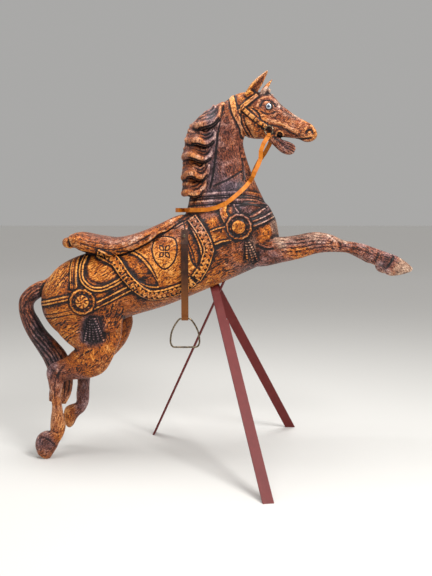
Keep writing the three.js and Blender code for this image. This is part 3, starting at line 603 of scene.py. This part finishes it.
# Tassels of beaded cords: top x, top z, length, width, lean forward and number of cords.
for x, z, length, width, lean, cords in [(76, 552, 46, 25, 13, 3), (-302, 366, 56, 44, 2, 5)]:
    half = width * 0.42 / cords
    for share in np.linspace(-1, 1, cords):
        cord = [(x + share * width * 0.12, z), (x + lean * 0.5 + share * width * 0.32, z - length * 0.5),
                (x + lean + share * width * 0.52, z - length)]
        index, offset, run, _ = near(cord, half * 1.3, 4, np.abs(Y) > 35)
        shape = np.sqrt(np.clip(1 - (offset / half) ** 2, 0, 1))
        bead = np.abs(np.sin(run / 6.2 * np.pi))
        carve(index, 5.5 * shape * (0.35 + 0.65 * bead) - 1.0)
        glaze_and_painted_shade[index] = np.maximum(glaze_and_painted_shade[index] * (1 - shape), 0.95 * (1 - shape * (0.25 + 0.75 * bead)))

# Deep gaps part the locks of the mane, darkened with painted shade under each lock.
for sheaf in LOCKS:
    cut([(x, z - 8.5) for x, z in sheaf[0][1:-1]], 4, 2.6, 0.9, where=(Y < -14) & (X < 20))

# Short strokes of the gouge lie like hair on the croup, the flank, the thigh and the cloth.
chance = np.random.default_rng(7)
bare = (relief < 1.2) & (glaze_and_painted_shade < 0.3)
# Each field: centre x, centre z, reach x, reach z, the strokes' lean in degrees and their number.
for x, z, reach_x, reach_z, lean, strokes in [
    (-398, 470, 36, 42, 58, 80), (-385, 330, 44, 34, 32, 60), (-256, 372, 28, 42, 62, 50),
    (-290, 262, 62, 26, 38, 22), (-130, 452, 66, 28, 66, 60), (-270, 490, 34, 26, 40, 30),
    (40, 490, 80, 24, 24, 50), (-124, 520, 60, 40, 70, 40),
]:
    for _ in range(strokes):
        turn, out = chance.uniform(0, 2 * math.pi), chance.uniform(0, 1) ** 0.5
        tilt, half = math.radians(lean + chance.uniform(-12, 12)), chance.uniform(5, 9)
        mid = np.array([x + reach_x * out * math.cos(turn), z + reach_z * out * math.sin(turn)])
        way = half * np.array([math.cos(tilt), math.sin(tilt)])
        cut([mid - way, mid + way], 0.75, 1.3, 0.18, where=bare)

# Bands round the foot of the neck.
for z, tilt in [(668, 4), (650, 2)]:
    ridge([(-70, z - 4), (-20, z), (40, z + tilt), (92, z + 2), (124, z - 8)], 2.2, 2.6, where=Z > 630)
for z in (660, 655, 640):
    cut([(-74, z - 3), (-20, z + 1), (40, z + 4), (92, z + 2), (126, z - 8)], 2.2, 1.6, 0.7, where=Z > 625)
cut([(-5, 687), (30, 703), (67, 726)], 2.4, 1.8, 0.85)
cut([(18, 881), (8, 834), (2, 794), (-2, 754), (-9, 705), (-15, 681)], 1.6, 2.4, 0.3)
# Swellings of the throat and windpipe.
ridge([(40, 845), (44, 820), (40, 790)], 3, 9)
ridge([(90, 700), (84, 740), (76, 780)], 3, 6)
cut([(70, 700), (66, 745), (60, 785)], 1.8, 4, 0.35)

# Bridle.
head_zone = on_head | ((X > 25) & (Z > 780))
for line, half in [([(37, 914), (46, 868), (58, 843), (72, 817), (82, 799)], 6.6),
                   ([(54, 865), (80, 885), (108, 908)], 5), ([(72, 876), (100, 852), (133, 828)], 5)]:
    strap(line, half, 4.8, rims=False, where=head_zone, edge=1.3)
for share in (0.3, 0.52, 0.62, 0.84):
    x, z = 72 + 61 * share, 876 - 48 * share
    cut([(x - 4.5, z - 6), (x + 4.5, z + 6)], 2.4, 1.2, 0.7, where=head_zone)
# Cheek, jaw, brow, face, mouth and nostril.
for line, depth, width, dark in [
    ([(74, 858), (80, 836), (93, 812), (98, 801)], 2, 2.2, 0.5),
    ([(102, 838), (116, 846), (112, 862), (98, 874)], 2.4, 2.4, 0.6),
    ([(117, 880), (122, 890), (133, 894), (146, 887), (153, 878)], 2, 1.6, 0.55),
    ([(116, 869), (126, 862), (138, 860), (152, 864)], 1.4, 2.4, 0.25),
    ([(122, 852), (138, 848), (156, 852)], 0.8, 3.4, 0.1),
    ([(160, 880), (186, 858), (214, 841)], 1, 3.4, 0.2),
    ([(140, 834), (166, 828), (190, 816), (206, 806)], 1.3, 3, 0.25),
    ([(146, 806), (166, 807), (186, 802), (204, 800), (226, 800), (240, 802)], 3, 1.8, 0.9),
    ([(226, 812), (232, 820), (240, 820), (243, 812)], 4.5, 2.6, 1),
]:
    cut(line, depth, width, dark, head_zone)
for line, height, width in [
    ([(86, 842), (98, 824), (100, 812)], 3, 8),
    ([(110, 880), (116, 896), (133, 902), (150, 893), (161, 878)], 3, 3.4),
    ([(128, 848), (152, 842), (176, 832), (204, 816)], 2.6, 5),
    ([(224, 822), (230, 830), (240, 828), (245, 818)], 3, 2.4),
]:
    ridge(line, height, width, head_zone)
# The carved ring at the corner of the mouth.
ridge(oval(162, 811, 8.5, 8.5, np.linspace(0, 2 * math.pi, 13)), 3.4, 2, head_zone)
cut(oval(162, 811, 4, 4, np.linspace(0, 2 * math.pi, 9)), 3, 2.6, 0.9, head_zone)

# The tuft under the chin is nicked like hair.
for lift in (-9, -3, 3, 9):
    tuft = [(150, 806 + lift * 0.3), (172, 792 + lift * 0.8), (198, 780 + lift * 1.2)]
    cut(tuft, 1.6, 1.8, 0.4, on_head & (Z < 808))

# Painted shadow darkens the wood behind the rein's ring.
ring_low, ring_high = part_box("rein_ring_right")
ring_at = turned([(np.array((ring_low + ring_high) / 2) - PLACE) / UNIT], -HEAD_TURN)[0]
index = np.nonzero(head_zone & (faces_out > 0))[0]
reach = np.hypot(X[index] - ring_at[0], Z[index] - ring_at[2])
darken(index, 0.95 * (1 - smooth_step(5, 8, reach)))

# Legs: long tendons, knee and fetlock folds, and the coronet above each hoof.
arm = (np.abs(Y) < 72) & (X > 150)
hind = (Z < 440) & (X < -200)
right_hind, left_hind = hind & (Y < 0), hind & (Y > 0)
for lift, dark in [(-6, 0.1), (-14, 0.16), (-24, 0.1), (-34, 0.14)]:
    tendon = [(160, 560 + lift), (205, 561 + lift), (245, 566 + lift * 0.9), (285, 560 + lift * 0.6)]
    cut(tendon, 1.1, 2.4, dark, arm)
for zone, line, depth, width, dark in [
    (arm, [(292, 562), (284, 546), (288, 530)], 1.3, 3.6, 0.16),
    (arm, [(312, 540), (340, 534), (370, 526), (394, 514)], 0.99, 2.7, 0.14),
    (arm, [(300, 552), (308, 540), (304, 528)], 0.99, 3, 0.14),
    (arm, [(442, 518), (432, 500), (420, 482)], 1.7, 3.3, 0.22),
    (arm, [(402, 524), (396, 508), (392, 498)], 1.1, 3, 0.14),
    (arm, [(174, 512), (196, 520), (226, 524)], 1.3, 5.2, 0.14),
    (right_hind, [(-232, 372), (-226, 345), (-236, 312)], 0.88, 6, 0.054),
    (right_hind, [(-340, 300), (-318, 312), (-290, 322), (-258, 326)], 1.3, 6, 0.066),
    (right_hind, [(-380, 262), (-352, 276), (-322, 292), (-300, 300)], 1.1, 5.4, 0.084),
    (right_hind, [(-376, 246), (-392, 222), (-396, 196)], 1.3, 3.6, 0.14),
    (right_hind, [(-392, 226), (-402, 204), (-404, 170), (-402, 130)], 1.2, 3, 0.16),
    (right_hind, [(-420, 78), (-402, 70), (-386, 74)], 1.2, 3, 0.16),
    (right_hind, [(-446, 40), (-440, 58), (-420, 50), (-404, 30)], 0.9, 2.2, 0.07),
    (left_hind, [(-338, 226), (-350, 200), (-354, 170), (-356, 130)], 1.2, 3, 0.16),
    (left_hind, [(-400, 102), (-384, 88), (-372, 78)], 1.7, 3.3, 0.22),
]:
    cut(line, depth, width, dark, zone)

# The tail is combed in long locks.
tail_zone = (X < -372) & (np.abs(Y) < 34)
for share in (0.2, 0.36, 0.52, 0.68, 0.84):
    lock = []
    for i, (top_x, top_z, low_x, low_z, _, _) in enumerate(TAIL[1:]):
        sway = 3 * math.sin(i * 1.3 + share * 9)
        lock.append((top_x + (low_x - top_x) * share + sway, top_z + (low_z - top_z) * share))
    cut(lock, 1.3, 2.6, 0.3, tail_zone)

skin += normal * (relief * 0.001)[:, None]
skin = relaxed(skin, pairs, 1, 0.35)

# Wood grain and gouge marks run along the middle of the mass that each point belongs to: the nearest one,
# measured in its own half heights, where the sideways distance counts too.
SIDEWAYS = 60
flow = np.zeros_like(skin)
best = np.full(len(skin), 1e9)
for stations in (TORSO, NECK, HEAD, JAW, FORELEG, HIND_RIGHT, HIND_LEFT, TAIL, SADDLE):
    table = np.array(stations, float)
    middle = spline((table[:, [0, 1]] + table[:, [2, 3]]) / 2, 3)
    half = np.interp(np.linspace(0, 1, len(middle)), np.linspace(0, 1, len(table)),
                     np.hypot(table[:, 0] - table[:, 2], table[:, 1] - table[:, 3]) / 2)
    aside = abs(table[:, 5].mean())
    sideways = np.abs(np.abs(Y) - aside) / SIDEWAYS if aside > 1 else 0
    for width, (away, left, along) in zip(half, segments(middle, X, Z)):
        score = away / width + sideways
        closer = score < best
        best = np.where(closer, score, best)
        flow[closer, 0] = (along * UNIT)[closer]
        flow[closer, 1] = (left * UNIT)[closer]
flow[:, 2] = Y * UNIT

# Washes of stain and of painted highlight: centre x, centre z, reach x, reach z, then gold, purple, red and
# pale, without the noughts at the end. The pale share is a paler stain in most washes and painted highlight
# on the chest's front edge and along the tops of the forelegs. Small ones lie over broad ones.
WASHES = [
    (-340, 450, 110, 90, 0.9, 0, 0.1), (-385, 475, 28, 30, 1.1, 0, 0, 0.15),
    (-130, 490, 130, 80, 0.95, 0.05, 0.1), (-220, 560, 150, 32, 0.35, 0.4, 0.3, 0.4),
    (-150, 400, 130, 30, 0.8, 0.35, 0.1), (0, 560, 50, 60, 0.55, 0.35, 0.3),
    (50, 640, 80, 36, 0.2, 0.65, 0.4, 0.1), (55, 587, 13, 13, 1), (-8, 597, 14, 12, 1, 0, 0.2),
    (5, 562, 12, 12, 0.9, 0, 0.3), (26, 626, 8, 12, 1, 0, 0.2), (64, 512, 16, 14, 0.8, 0.1, 0.4),
    (43, 679, 20, 12, 0, 1), (122, 566, 12, 14, 1), (86, 526, 12, 22, 0.3, 0.4, 0.1, 0.7),
    # The wash at 158, 600 is a painted highlight on the chest's front edge.
    (158, 600, 14, 50, 0.1, 0.2, 0.1, 1), (95, 510, 60, 30, 0.4, 0.55, 0.3),
    (40, 760, 60, 110, 0.55, 0.3, 0.65, 0.15), (96, 690, 18, 50, 0.3, 0.2, 0.4, 0.35),
    (20, 690, 30, 26, 0.1, 0.8, 0.2, 0.1), (-45, 760, 45, 140, 0.6, 0.42, 0.35),
    (-10, 760, 14, 100, 0.2, 0.8, 0.2), (60, 880, 26, 40, 0.9, 0.1, 0.3), (92, 838, 30, 30, 0.85, 0.1, 0.35),
    (120, 940, 30, 30, 0.8, 0.15, 0.4), (130, 918, 16, 12, 0.1, 0.7, 0.1, 0.7),
    (132, 892, 24, 12, 0.8, 0.1, 0.9), (168, 893, 26, 9, 0.1, 0.6, 0.2, 0.7),
    (212, 856, 30, 8, 0.2, 0.3, 0.3, 0.6), (190, 832, 50, 22, 0.85, 0.15, 0.5, 0.05),
    (180, 780, 30, 24, 0.5, 0.45, 0.7), (230, 550, 90, 26, 0.5, 0.45, 0.5, 0.35),
    (300, 545, 40, 14, 0.35, 0.5, 0.5, 0.2), (205, 526, 26, 10, 1, 0, 0.4), (285, 546, 18, 14, 1, 0, 0.5),
    # The washes at 215, 564 and 320, 554 are painted highlights along the tops of the forelegs.
    (340, 528, 30, 8, 0.6, 0.3, 0.6), (215, 564, 60, 8, 0.2, 0.5, 0.2, 0.6),
    (320, 554, 36, 6, 0.2, 0.4, 0.2, 0.7), (355, 528, 50, 24, 0.5, 0.5, 0.6),
    (430, 505, 22, 24, 0.3, 0.6, 0.3, 0.2), (465, 488, 26, 20, 0.3, 0.2, 0.4, 0.8),
    (-300, 262, 60, 34, 0.8, 0, 0.35), (-302, 335, 22, 36, 0.15, 0.9, 0.1),
    (-250, 360, 34, 40, 0.6, 0.2, 0.3, 0.2), (-396, 190, 40, 50, 0.7, 0.15, 0.7),
    (-402, 120, 24, 50, 0.95, 0.1, 0.5), (-415, 232, 16, 20, 0.3, 0.8, 0.3),
    (-352, 150, 24, 70, 0.45, 0.65, 0.35, 0.1), (-436, 44, 22, 20, 0.4, 0.65, 0.3, 0.1),
    (-438, 10, 18, 16, 0.65, 0.45, 0.3, 0.2), (-485, 350, 22, 110, 0.4, 0.35, 0.6),
    (-450, 330, 20, 90, 0.2, 0.7, 0.4), (-410, 200, 40, 60, 0.5, 0.4, 0.6), (-60, 600, 60, 30, 0.5, 0.4, 0.2),
    (-345, 560, 20, 16, 0.7, 0.2, 0.3),
]
BROAD = 40  # narrower washes are laid on stronger
weight = np.full(len(skin), 0.02)
zones = weight[:, None] * np.array([0.5, 0.3, 0.3, 0.0])
for x, z, reach_x, reach_z, *tints in WASHES:
    strength = max(1, (BROAD / min(reach_x, reach_z)) ** 1.5)
    share = strength * np.exp(-(((X - x) / reach_x) ** 2 + ((Z - z) / reach_z) ** 2) * 1.4)
    zones += share[:, None] * np.array([*tints, 0, 0, 0][:4])
    weight += share
zones /= weight[:, None]

normal = normals(horse.data, skin)
# How far each point lies in a hollow or on a ridge. The dark in the hollows (crease) is glaze together with
# painted shade; the light on the ridges (crest) is painted highlight.
fine = ((relaxed(skin, pairs, 2) - skin) * normal).sum(1) * 1000
broad = ((relaxed(skin, pairs, 14) - skin) * normal).sum(1) * 1000
scale = VOXEL / FINE_VOXEL
hollows = np.clip(0.9 * fine / 0.45 / scale + 0.8 * broad / 1.5 / scale, -1.5, 1.5)
crease = np.clip(np.maximum(hollows, 0) * 0.75 + glaze_and_painted_shade * 0.8, 0, 1)
crest = np.clip(-hollows * 0.8, 0, 1) * (1 - glaze_and_painted_shade)

# The fine skin is thinned out and kept inside the frame's box. Each point that is left takes the values of
# the nearest point of the fine skin.
MOST_TRIANGLES = 186000
MARGIN = 0.0003
thin = horse.modifiers.new("fewer faces", "DECIMATE")
thin.ratio = min(1, MOST_TRIANGLES / sum(len(p.vertices) - 2 for p in horse.data.polygons))
settled(horse)
nearest = KDTree(len(skin))
for i, point in enumerate(skin):
    nearest.insert(point, i)
nearest.balance()
final = read(horse.data.vertices, "co", 3)
match = np.array([nearest.find(point)[1] for point in final])
inside = np.clip(final, np.array(cad_low) + MARGIN, np.array(cad_high) - MARGIN)
horse.data.vertices.foreach_set("co", inside.ravel())
for name, kind, key, values in [
    ("crease", "FLOAT", "value", crease), ("crest", "FLOAT", "value", crest),
    ("flow", "FLOAT_VECTOR", "vector", flow), ("washes", "FLOAT_COLOR", "color", zones),
]:
    layer = horse.data.attributes.new(name, kind, "POINT")
    layer.data.foreach_set(key, values[match].astype(np.float32).ravel())
horse.data.update()
horse.data.shade_smooth()
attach(horse, "root")
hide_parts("horse")


def paint(hex_code):
    """An sRGB colour code as linear light."""
    rgb = [int(hex_code[i:i + 2], 16) / 255 for i in (1, 3, 5)]
    return [c / 12.92 if c <= 0.04045 else ((c + 0.055) / 1.055) ** 2.4 for c in rgb] + [1]


class Finish:
    """A material, built up node by node."""

    def __init__(self, name):
        self.material = bpy.data.materials.new(name)
        self.material.use_nodes = True
        self.tree = self.material.node_tree
        self.here = self.add("TexCoord", output="Object")

    def fill(self, node, inputs):
        """Links or sets a node's inputs; text is a colour code."""
        for key, value in inputs.items():
            if isinstance(value, bpy.types.NodeSocket):
                self.tree.links.new(value, node.inputs[key])
            else:
                node.inputs[key].default_value = paint(value) if isinstance(value, str) else value

    def add(self, kind, inputs=None, output=0, **settings):
        """Adds a node, sets it up, fills its inputs and gives one of its outputs."""
        node = self.tree.nodes.new("ShaderNode" + kind)
        for key, value in settings.items():
            setattr(node, key, value)
        self.fill(node, inputs or {})
        return node.outputs[output]

    def surface(self, inputs):
        self.fill(self.tree.nodes["Principled BSDF"], inputs)

    def bump(self, height, distance):
        return self.add("Bump", {"Height": height, "Distance": distance, "Strength": 1.0})

    def ramp(self, value, low, high):
        """Nought below low, one above high."""
        limits = {"Value": value, "From Min": low, "From Max": high}
        return self.add("MapRange", limits, interpolation_type="SMOOTHSTEP")

    def blend(self, share, a, b):
        return self.add("Mix", {0: share, 6: a, 7: b}, 2, data_type="RGBA")

    def maths(self, operation, a, b=0.0):
        return self.add("Math", {0: a, 1: b}, operation=operation)

    def times(self, a, b):
        return self.maths("MULTIPLY", a, b)

    def total(self, first, *others):
        for other in others:
            first = self.maths("ADD", first, other)
        return first

    def centred(self, noise, share):
        """A noise's swing to both sides of nought, times a share."""
        return self.times(self.maths("SUBTRACT", noise, 0.5), share)

    def noise(self, where, scale, detail, rough, stretch=None):
        if stretch:
            where = self.add("Mapping", {"Vector": where, "Scale": stretch})
        return self.add("TexNoise", {"Vector": where, "Scale": scale, "Detail": detail, "Roughness": rough})


# Varnished carving: golden stain, with painted highlight on what stands out, reddish brown between, a
# violet-grey glaze wiped into the hollows and painted shade darkening them further, and short gouge strokes
# along the grain.
wood = Finish("stained_varnished_timber")
times, total, centred, ramp = wood.times, wood.total, wood.centred, wood.ramp
grain = wood.add("Attribute", output="Vector", attribute_name="flow")
creased = wood.add("Attribute", output="Fac", attribute_name="crease")
crested = wood.add("Attribute", output="Fac", attribute_name="crest")
washed = wood.add("Attribute", attribute_name="washes")
pale = washed.node.outputs["Alpha"]
gold, purple, red = wood.add("SeparateColor", {"Color": washed}).node.outputs
streak = wood.noise(grain, 330, 5, 0.68, (0.26, 1, 1))
strokes = wood.noise(grain, 230, 2, 0.5, (0.42, 1, 0.8))
mottle = wood.noise(wood.here, 30, 7, 0.72)
patch = wood.noise(wood.here, 8, 4, 0.6)
speck = wood.noise(wood.here, 210, 3, 0.6)
dents = ramp(strokes, 0.54, 0.63)
dots = ramp(speck, 0.56, 0.66)
flecks = ramp(speck, 0.44, 0.34)
# Gouge marks are fainter where the violet stain, the pale stain and the painted highlights lie.
worked = wood.maths("SUBTRACT", 1.0, times(ramp(total(purple, pale), 0.35, 0.95), 0.55))
depth = total(0.28, times(gold, 0.4), centred(mottle, 1.5), centred(patch, 0.7),
              times(centred(streak, 1.5), worked), times(crested, 0.5), times(creased, -0.9),
              times(times(dents, -0.42), worked), times(dots, -0.28), times(flecks, 0.2))


def stain(*codes, places=(0, 0.25, 0.5, 0.75, 1)):
    """The stain from its glazed and shaded depths to its painted highlights."""
    colour = wood.add("ValToRGB", {"Fac": depth})
    band = colour.node.color_ramp
    while len(band.elements) < len(codes):
        band.elements.new(0.5)
    for element, place, code in zip(band.elements, places, codes):
        element.position = place
        element.color = paint(code)
    return colour


golden = stain("#160B09", "#3A1B10", "#74350E", "#A8510C", "#D07418", "#F2A850",
               places=(0, 0.2, 0.38, 0.56, 0.78, 1))
violet = stain("#120D10", "#2C2127", "#56434C", "#8A6C70", "#D2ACA2")
russet = stain("#190C0A", "#431E14", "#763620", "#A05834", "#D08E62")
bleached_and_highlight = stain("#342420", "#705044", "#A67E68", "#CCA88E", "#ECD2BC")
colour = golden
for tint, amount, pattern, low, high in [(russet, red, patch, 0.2, 0.75),
                                         (violet, purple, total(mottle, centred(patch, 0.6)), 0.15, 0.85),
                                         (bleached_and_highlight, pale, mottle, 0.25, 0.8)]:
    colour = wood.blend(ramp(total(amount, centred(pattern, 1.1)), low, high), colour, tint)
# Towards the hollows the colour goes almost black: glaze, together with painted shade.
hollow_glaze_and_shade = ramp(total(creased, centred(mottle, 0.5)), 0.2, 0.75)
rough = total(times(streak, 0.8), times(dents, -0.8), times(dots, -0.5), times(mottle, 1.2))
wood.surface({
    "Base Color": wood.blend(times(hollow_glaze_and_shade, 0.8), colour, wood.blend(mottle, "#120B0B", "#2A1D20")),
    "Roughness": wood.add("MapRange", {"Value": total(mottle, hollow_glaze_and_shade), "To Min": 0.3, "To Max": 0.6}),
    "Specular IOR Level": 0.3, "Coat Weight": 0.08, "Coat Roughness": 0.22,
    "Normal": wood.bump(rough, 0.005),
})
horse.data.materials.append(wood.material)

# The eyes
# Blown glass set in the sockets: a dark pupil, broader than high, in a blue-grey iris, with white round it
# and a dark edge at the lids.
glass = Finish("pale_glass_eye")
across, up, _ = glass.add("SeparateXYZ", {
    "Vector": glass.add("Attribute", output="Vector", attribute_name="gaze")}).node.outputs
reach = glass.maths("POWER", glass.total(glass.times(across, across), glass.times(up, up)), 0.5)
slit = glass.maths("MAXIMUM", glass.maths("ABSOLUTE", across), glass.times(glass.maths("ABSOLUTE", up), 2.1))
colour = glass.blend(glass.ramp(reach, 0.36, 0.44), "#56667C", "#B4B8BC")
colour = glass.blend(glass.ramp(reach, 0.58, 0.68), colour, "#221A18")
glass.surface({
    "Base Color": glass.blend(glass.ramp(slit, 0.27, 0.33), "#07080C", colour),
    "Roughness": 0.08, "Coat Weight": 1.0, "Coat Roughness": 0.03,
})


def dressed(name, work, finish, node):
    """A new piece that takes the place of one of the frame's."""
    mesh = bpy.data.meshes.new(name)
    work.to_mesh(mesh)
    work.free()
    mesh.materials.append(finish.material)
    mesh.shade_smooth()
    thing = shown(name, mesh)
    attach(thing, "root")
    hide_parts(node)


BEHIND = 9  # no ring of the eye's colours reaches this far
for word, side in (("right", -1), ("left", 1)):
    node = f"eye_{word}"
    low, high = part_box(node)
    look = Vector(turned([(HEAD_PIVOT, side, 0)], HEAD_TURN)[0] - np.array([HEAD_PIVOT, 0, 0])).normalized()
    across = look.cross(Vector((0, 0, 1))).normalized()
    work = bmesh.new()
    bmesh.ops.create_uvsphere(work, u_segments=40, v_segments=24, radius=(high.z - low.z) / 2)
    layer = work.verts.layers.float_vector.new("gaze")
    for v in work.verts:
        ray = v.co.normalized()
        front = ray.dot(look)
        v[layer] = (ray.dot(across) if front > 0 else BEHIND, ray.z, front)
        v.co += (low + high) / 2
    dressed(f"glass_eye_{word}", work, glass, node)

# Rein rings and stirrup
# Forged and once plated iron, dull and browned, brighter where leather and boots rub.
steel = Finish("browned_iron")
rust = steel.noise(steel.here, 120, 5, 0.65)
scratch = steel.noise(steel.here, 700, 3, 0.6)
steel.surface({
    "Base Color": steel.blend(steel.ramp(rust, 0.4, 0.65), "#7A6A54", "#3A2C20"),
    "Metallic": 0.7, "Roughness": steel.ramp(rust, 0.2, 1.4),
    "Normal": steel.bump(steel.total(rust, steel.times(scratch, 0.3)), 0.0004),
})


def bent(name, path, bar, sides, node):
    """A round bar, `bar` metres thick, bent into a closed loop."""
    ahead = np.roll(path, -1, 0) - np.roll(path, 1, 0)
    ahead /= np.linalg.norm(ahead, axis=1)[:, None]
    work = bmesh.new()
    rings = []
    for point, way in zip(path, ahead):
        t = Vector(way)
        u = (Vector((0, 1, 0)) - t * t.y).normalized()
        v = t.cross(u)
        spokes = [u * (bar / 2 * math.cos(a)) + v * (bar / 2 * math.sin(a)) for a in circle(sides)]
        rings.append([work.verts.new(Vector(point) + spoke) for spoke in spokes])
    for a, b in zip(rings, rings[1:] + rings[:1]):
        for j in range(sides):
            k = (j + 1) % sides
            work.faces.new((a[j], a[k], b[k], b[j]))
    bmesh.ops.recalc_face_normals(work, faces=work.faces[:])
    dressed(name, work, steel, node)


RING_BAR = 0.006
for word in ("right", "left"):
    node = f"rein_ring_{word}"
    low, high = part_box(node)
    radius = (high.z - low.z - RING_BAR) / 2
    ahead = np.array([math.cos(HEAD_TURN), math.sin(HEAD_TURN), 0])
    path = [np.array((low + high) / 2) + radius * (math.cos(a) * ahead + math.sin(a) * np.array([0, 0, 1]))
            for a in circle(48)]
    bent(f"ring_{word}", path, RING_BAR, 12, node)

STIRRUP_BAR = 0.007
SLACK = 0.0001  # the bar is drawn this much thinner, so it stays inside the frame's one
low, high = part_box("stirrup")
middle, half, drop = (low + high) / 2, (high.x - low.x - STIRRUP_BAR) / 2, high.z - low.z - STIRRUP_BAR
outline = [(0, 0), (0.33, -0.01), (0.62, -0.17), (0.9, -0.45), (1, -0.72), (0.98, -0.88), (0.84, -0.985),
           (0.45, -1)]
outline += [(-a, b) for a, b in outline[:0:-1]]
knots = np.array([(middle.x + a * half, middle.y, high.z - STIRRUP_BAR / 2 + b * drop) for a, b in outline])
path = spline(np.vstack([knots[-2:], knots, knots[:3]]), 6)[12:-18]
bent("stirrup_iron", path, STIRRUP_BAR - SLACK, 14, "stirrup")

# Rein, stirrup strap and nail
# Harness leather, cut flat: the rein new and tan, the strap older and dark above, worn pale below.


def leather(name, dark, light, worn, below=None):
    """Leather with open pores; where the stirrup rubs, it takes the colour `below`."""
    hide = Finish(name)
    pores = hide.add("TexVoronoi", {"Vector": hide.here, "Scale": 900.0})
    shade = hide.noise(hide.here, 45, 5, 0.6)
    colour = hide.blend(hide.ramp(shade, 0.3, 0.7), dark, light)
    rubbed = hide.ramp(hide.noise(hide.here, 60, 4, 0.6, (1, 1, 0.25)), 0.52, 0.75)
    colour = hide.blend(hide.times(rubbed, 0.6), colour, worn)
    if below:
        height = hide.add("SeparateXYZ", {"Vector": hide.here}, "Z")
        colour = hide.blend(hide.times(hide.ramp(height, 0.78, 0.62), 0.7), colour, below)
    hide.surface({"Base Color": colour, "Roughness": 0.5, "Specular IOR Level": 0.25,
                  "Normal": hide.bump(hide.total(pores, shade), 0.0003)})
    return hide


def dress(node, finish):
    """Gives one of the frame's pieces its material."""
    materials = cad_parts[node].data.materials
    materials.clear()
    materials.append(finish.material)


dress("rein", leather("tan_harness_leather", "#AC5C0E", "#C8741A", "#DC9034"))
dress("stirrup_strap", leather("brown_strap_leather", "#281309", "#3E1F0E", "#5E3617", "#7C4618"))
dress("strap_nail", steel)

# The stand
# Three flat steel bars let into the belly and cut level at the floor, brushed with dull oxide red.
oxide = Finish("oxide_red_paint")
brush = oxide.noise(oxide.here, 60, 4, 0.6, (1, 1, 0.15))
dust = oxide.ramp(oxide.noise(oxide.here, 14, 5, 0.6), 0.5, 0.8)
chips = oxide.noise(oxide.here, 160, 4, 0.7)
colour = oxide.blend(oxide.times(dust, 0.3), oxide.blend(brush, "#561918", "#702624"), "#7E463F")
oxide.surface({
    "Base Color": oxide.blend(oxide.ramp(chips, 0.7, 0.74), colour, "#3C2A26"),
    "Roughness": 0.5, "Specular IOR Level": 0.25,
    "Normal": oxide.bump(oxide.total(brush, oxide.times(chips, 0.5)), 0.0005),
})
for word in ("near", "far", "rear"):
    dress(f"stand_leg_{word}", oxide)

# Floor, light and camera
# A studio: a wide pale floor that is a little darker near the horse and painted paler far off, as painted
# light that carries it into the sky without a line; three soft lamps and a long lens.
ground = Finish("pale_floor")
away = ground.add("VectorMath", {0: ground.here}, "Value", operation="LENGTH")
# Paler with distance: painted light.
shade = ground.blend(ground.ramp(away, 1.5, 9), "#CFCDC9", "#F6F4F1")
ground.surface({"Base Color": shade, "Roughness": 0.9})
work = bmesh.new()
bmesh.ops.create_grid(work, x_segments=1, y_segments=1, size=60)
mesh = bpy.data.meshes.new("floor")
work.to_mesh(mesh)
work.free()
mesh.materials.append(ground.material)
floor = shown("floor", mesh)
floor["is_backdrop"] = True

world = bpy.data.worlds.new("studio")
bpy.context.scene.world = world
world.use_nodes = True
sky = world.node_tree.nodes["Background"]
sky.inputs["Color"].default_value = paint("#F2F1EF")
sky.inputs["Strength"].default_value = 0.45

LAMPS_AIM = Vector((0, 0.1, 0.8))
for name, at, size, power in [("key", (1.8, -2.4, 3.2), 1.4, 160), ("fill", (-2.8, -1.8, 2.4), 1.8, 20),
                              ("top", (-0.3, 0.1, 3.6), 1.8, 95)]:
    lamp = bpy.data.lights.new(name, "AREA")
    lamp.size = size
    lamp.energy = power
    holder = shown(name, lamp)
    holder.location = at
    holder.rotation_euler = (LAMPS_AIM - Vector(at)).to_track_quat("-Z", "Y").to_euler()

CAMERA_DISTANCE = 2.885
CAMERA_HEIGHT = 1.0
CAMERA_TILT = math.radians(84)
camera = bpy.data.cameras.new("camera")
camera.lens = 43.75
camera.sensor_fit = "AUTO"
camera.sensor_width = 36
viewer = shown("camera", camera)
viewer.location = (PLACE[0], PLACE[1] - CAMERA_DISTANCE, CAMERA_HEIGHT)
viewer.rotation_euler = (CAMERA_TILT, 0, 0)
bpy.context.scene.camera = viewer
bpy.context.scene.view_settings.view_transform = "Standard"

low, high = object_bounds()
{"cad": [list(cad_low), list(cad_high)], "visual": [list(low), list(high)]}
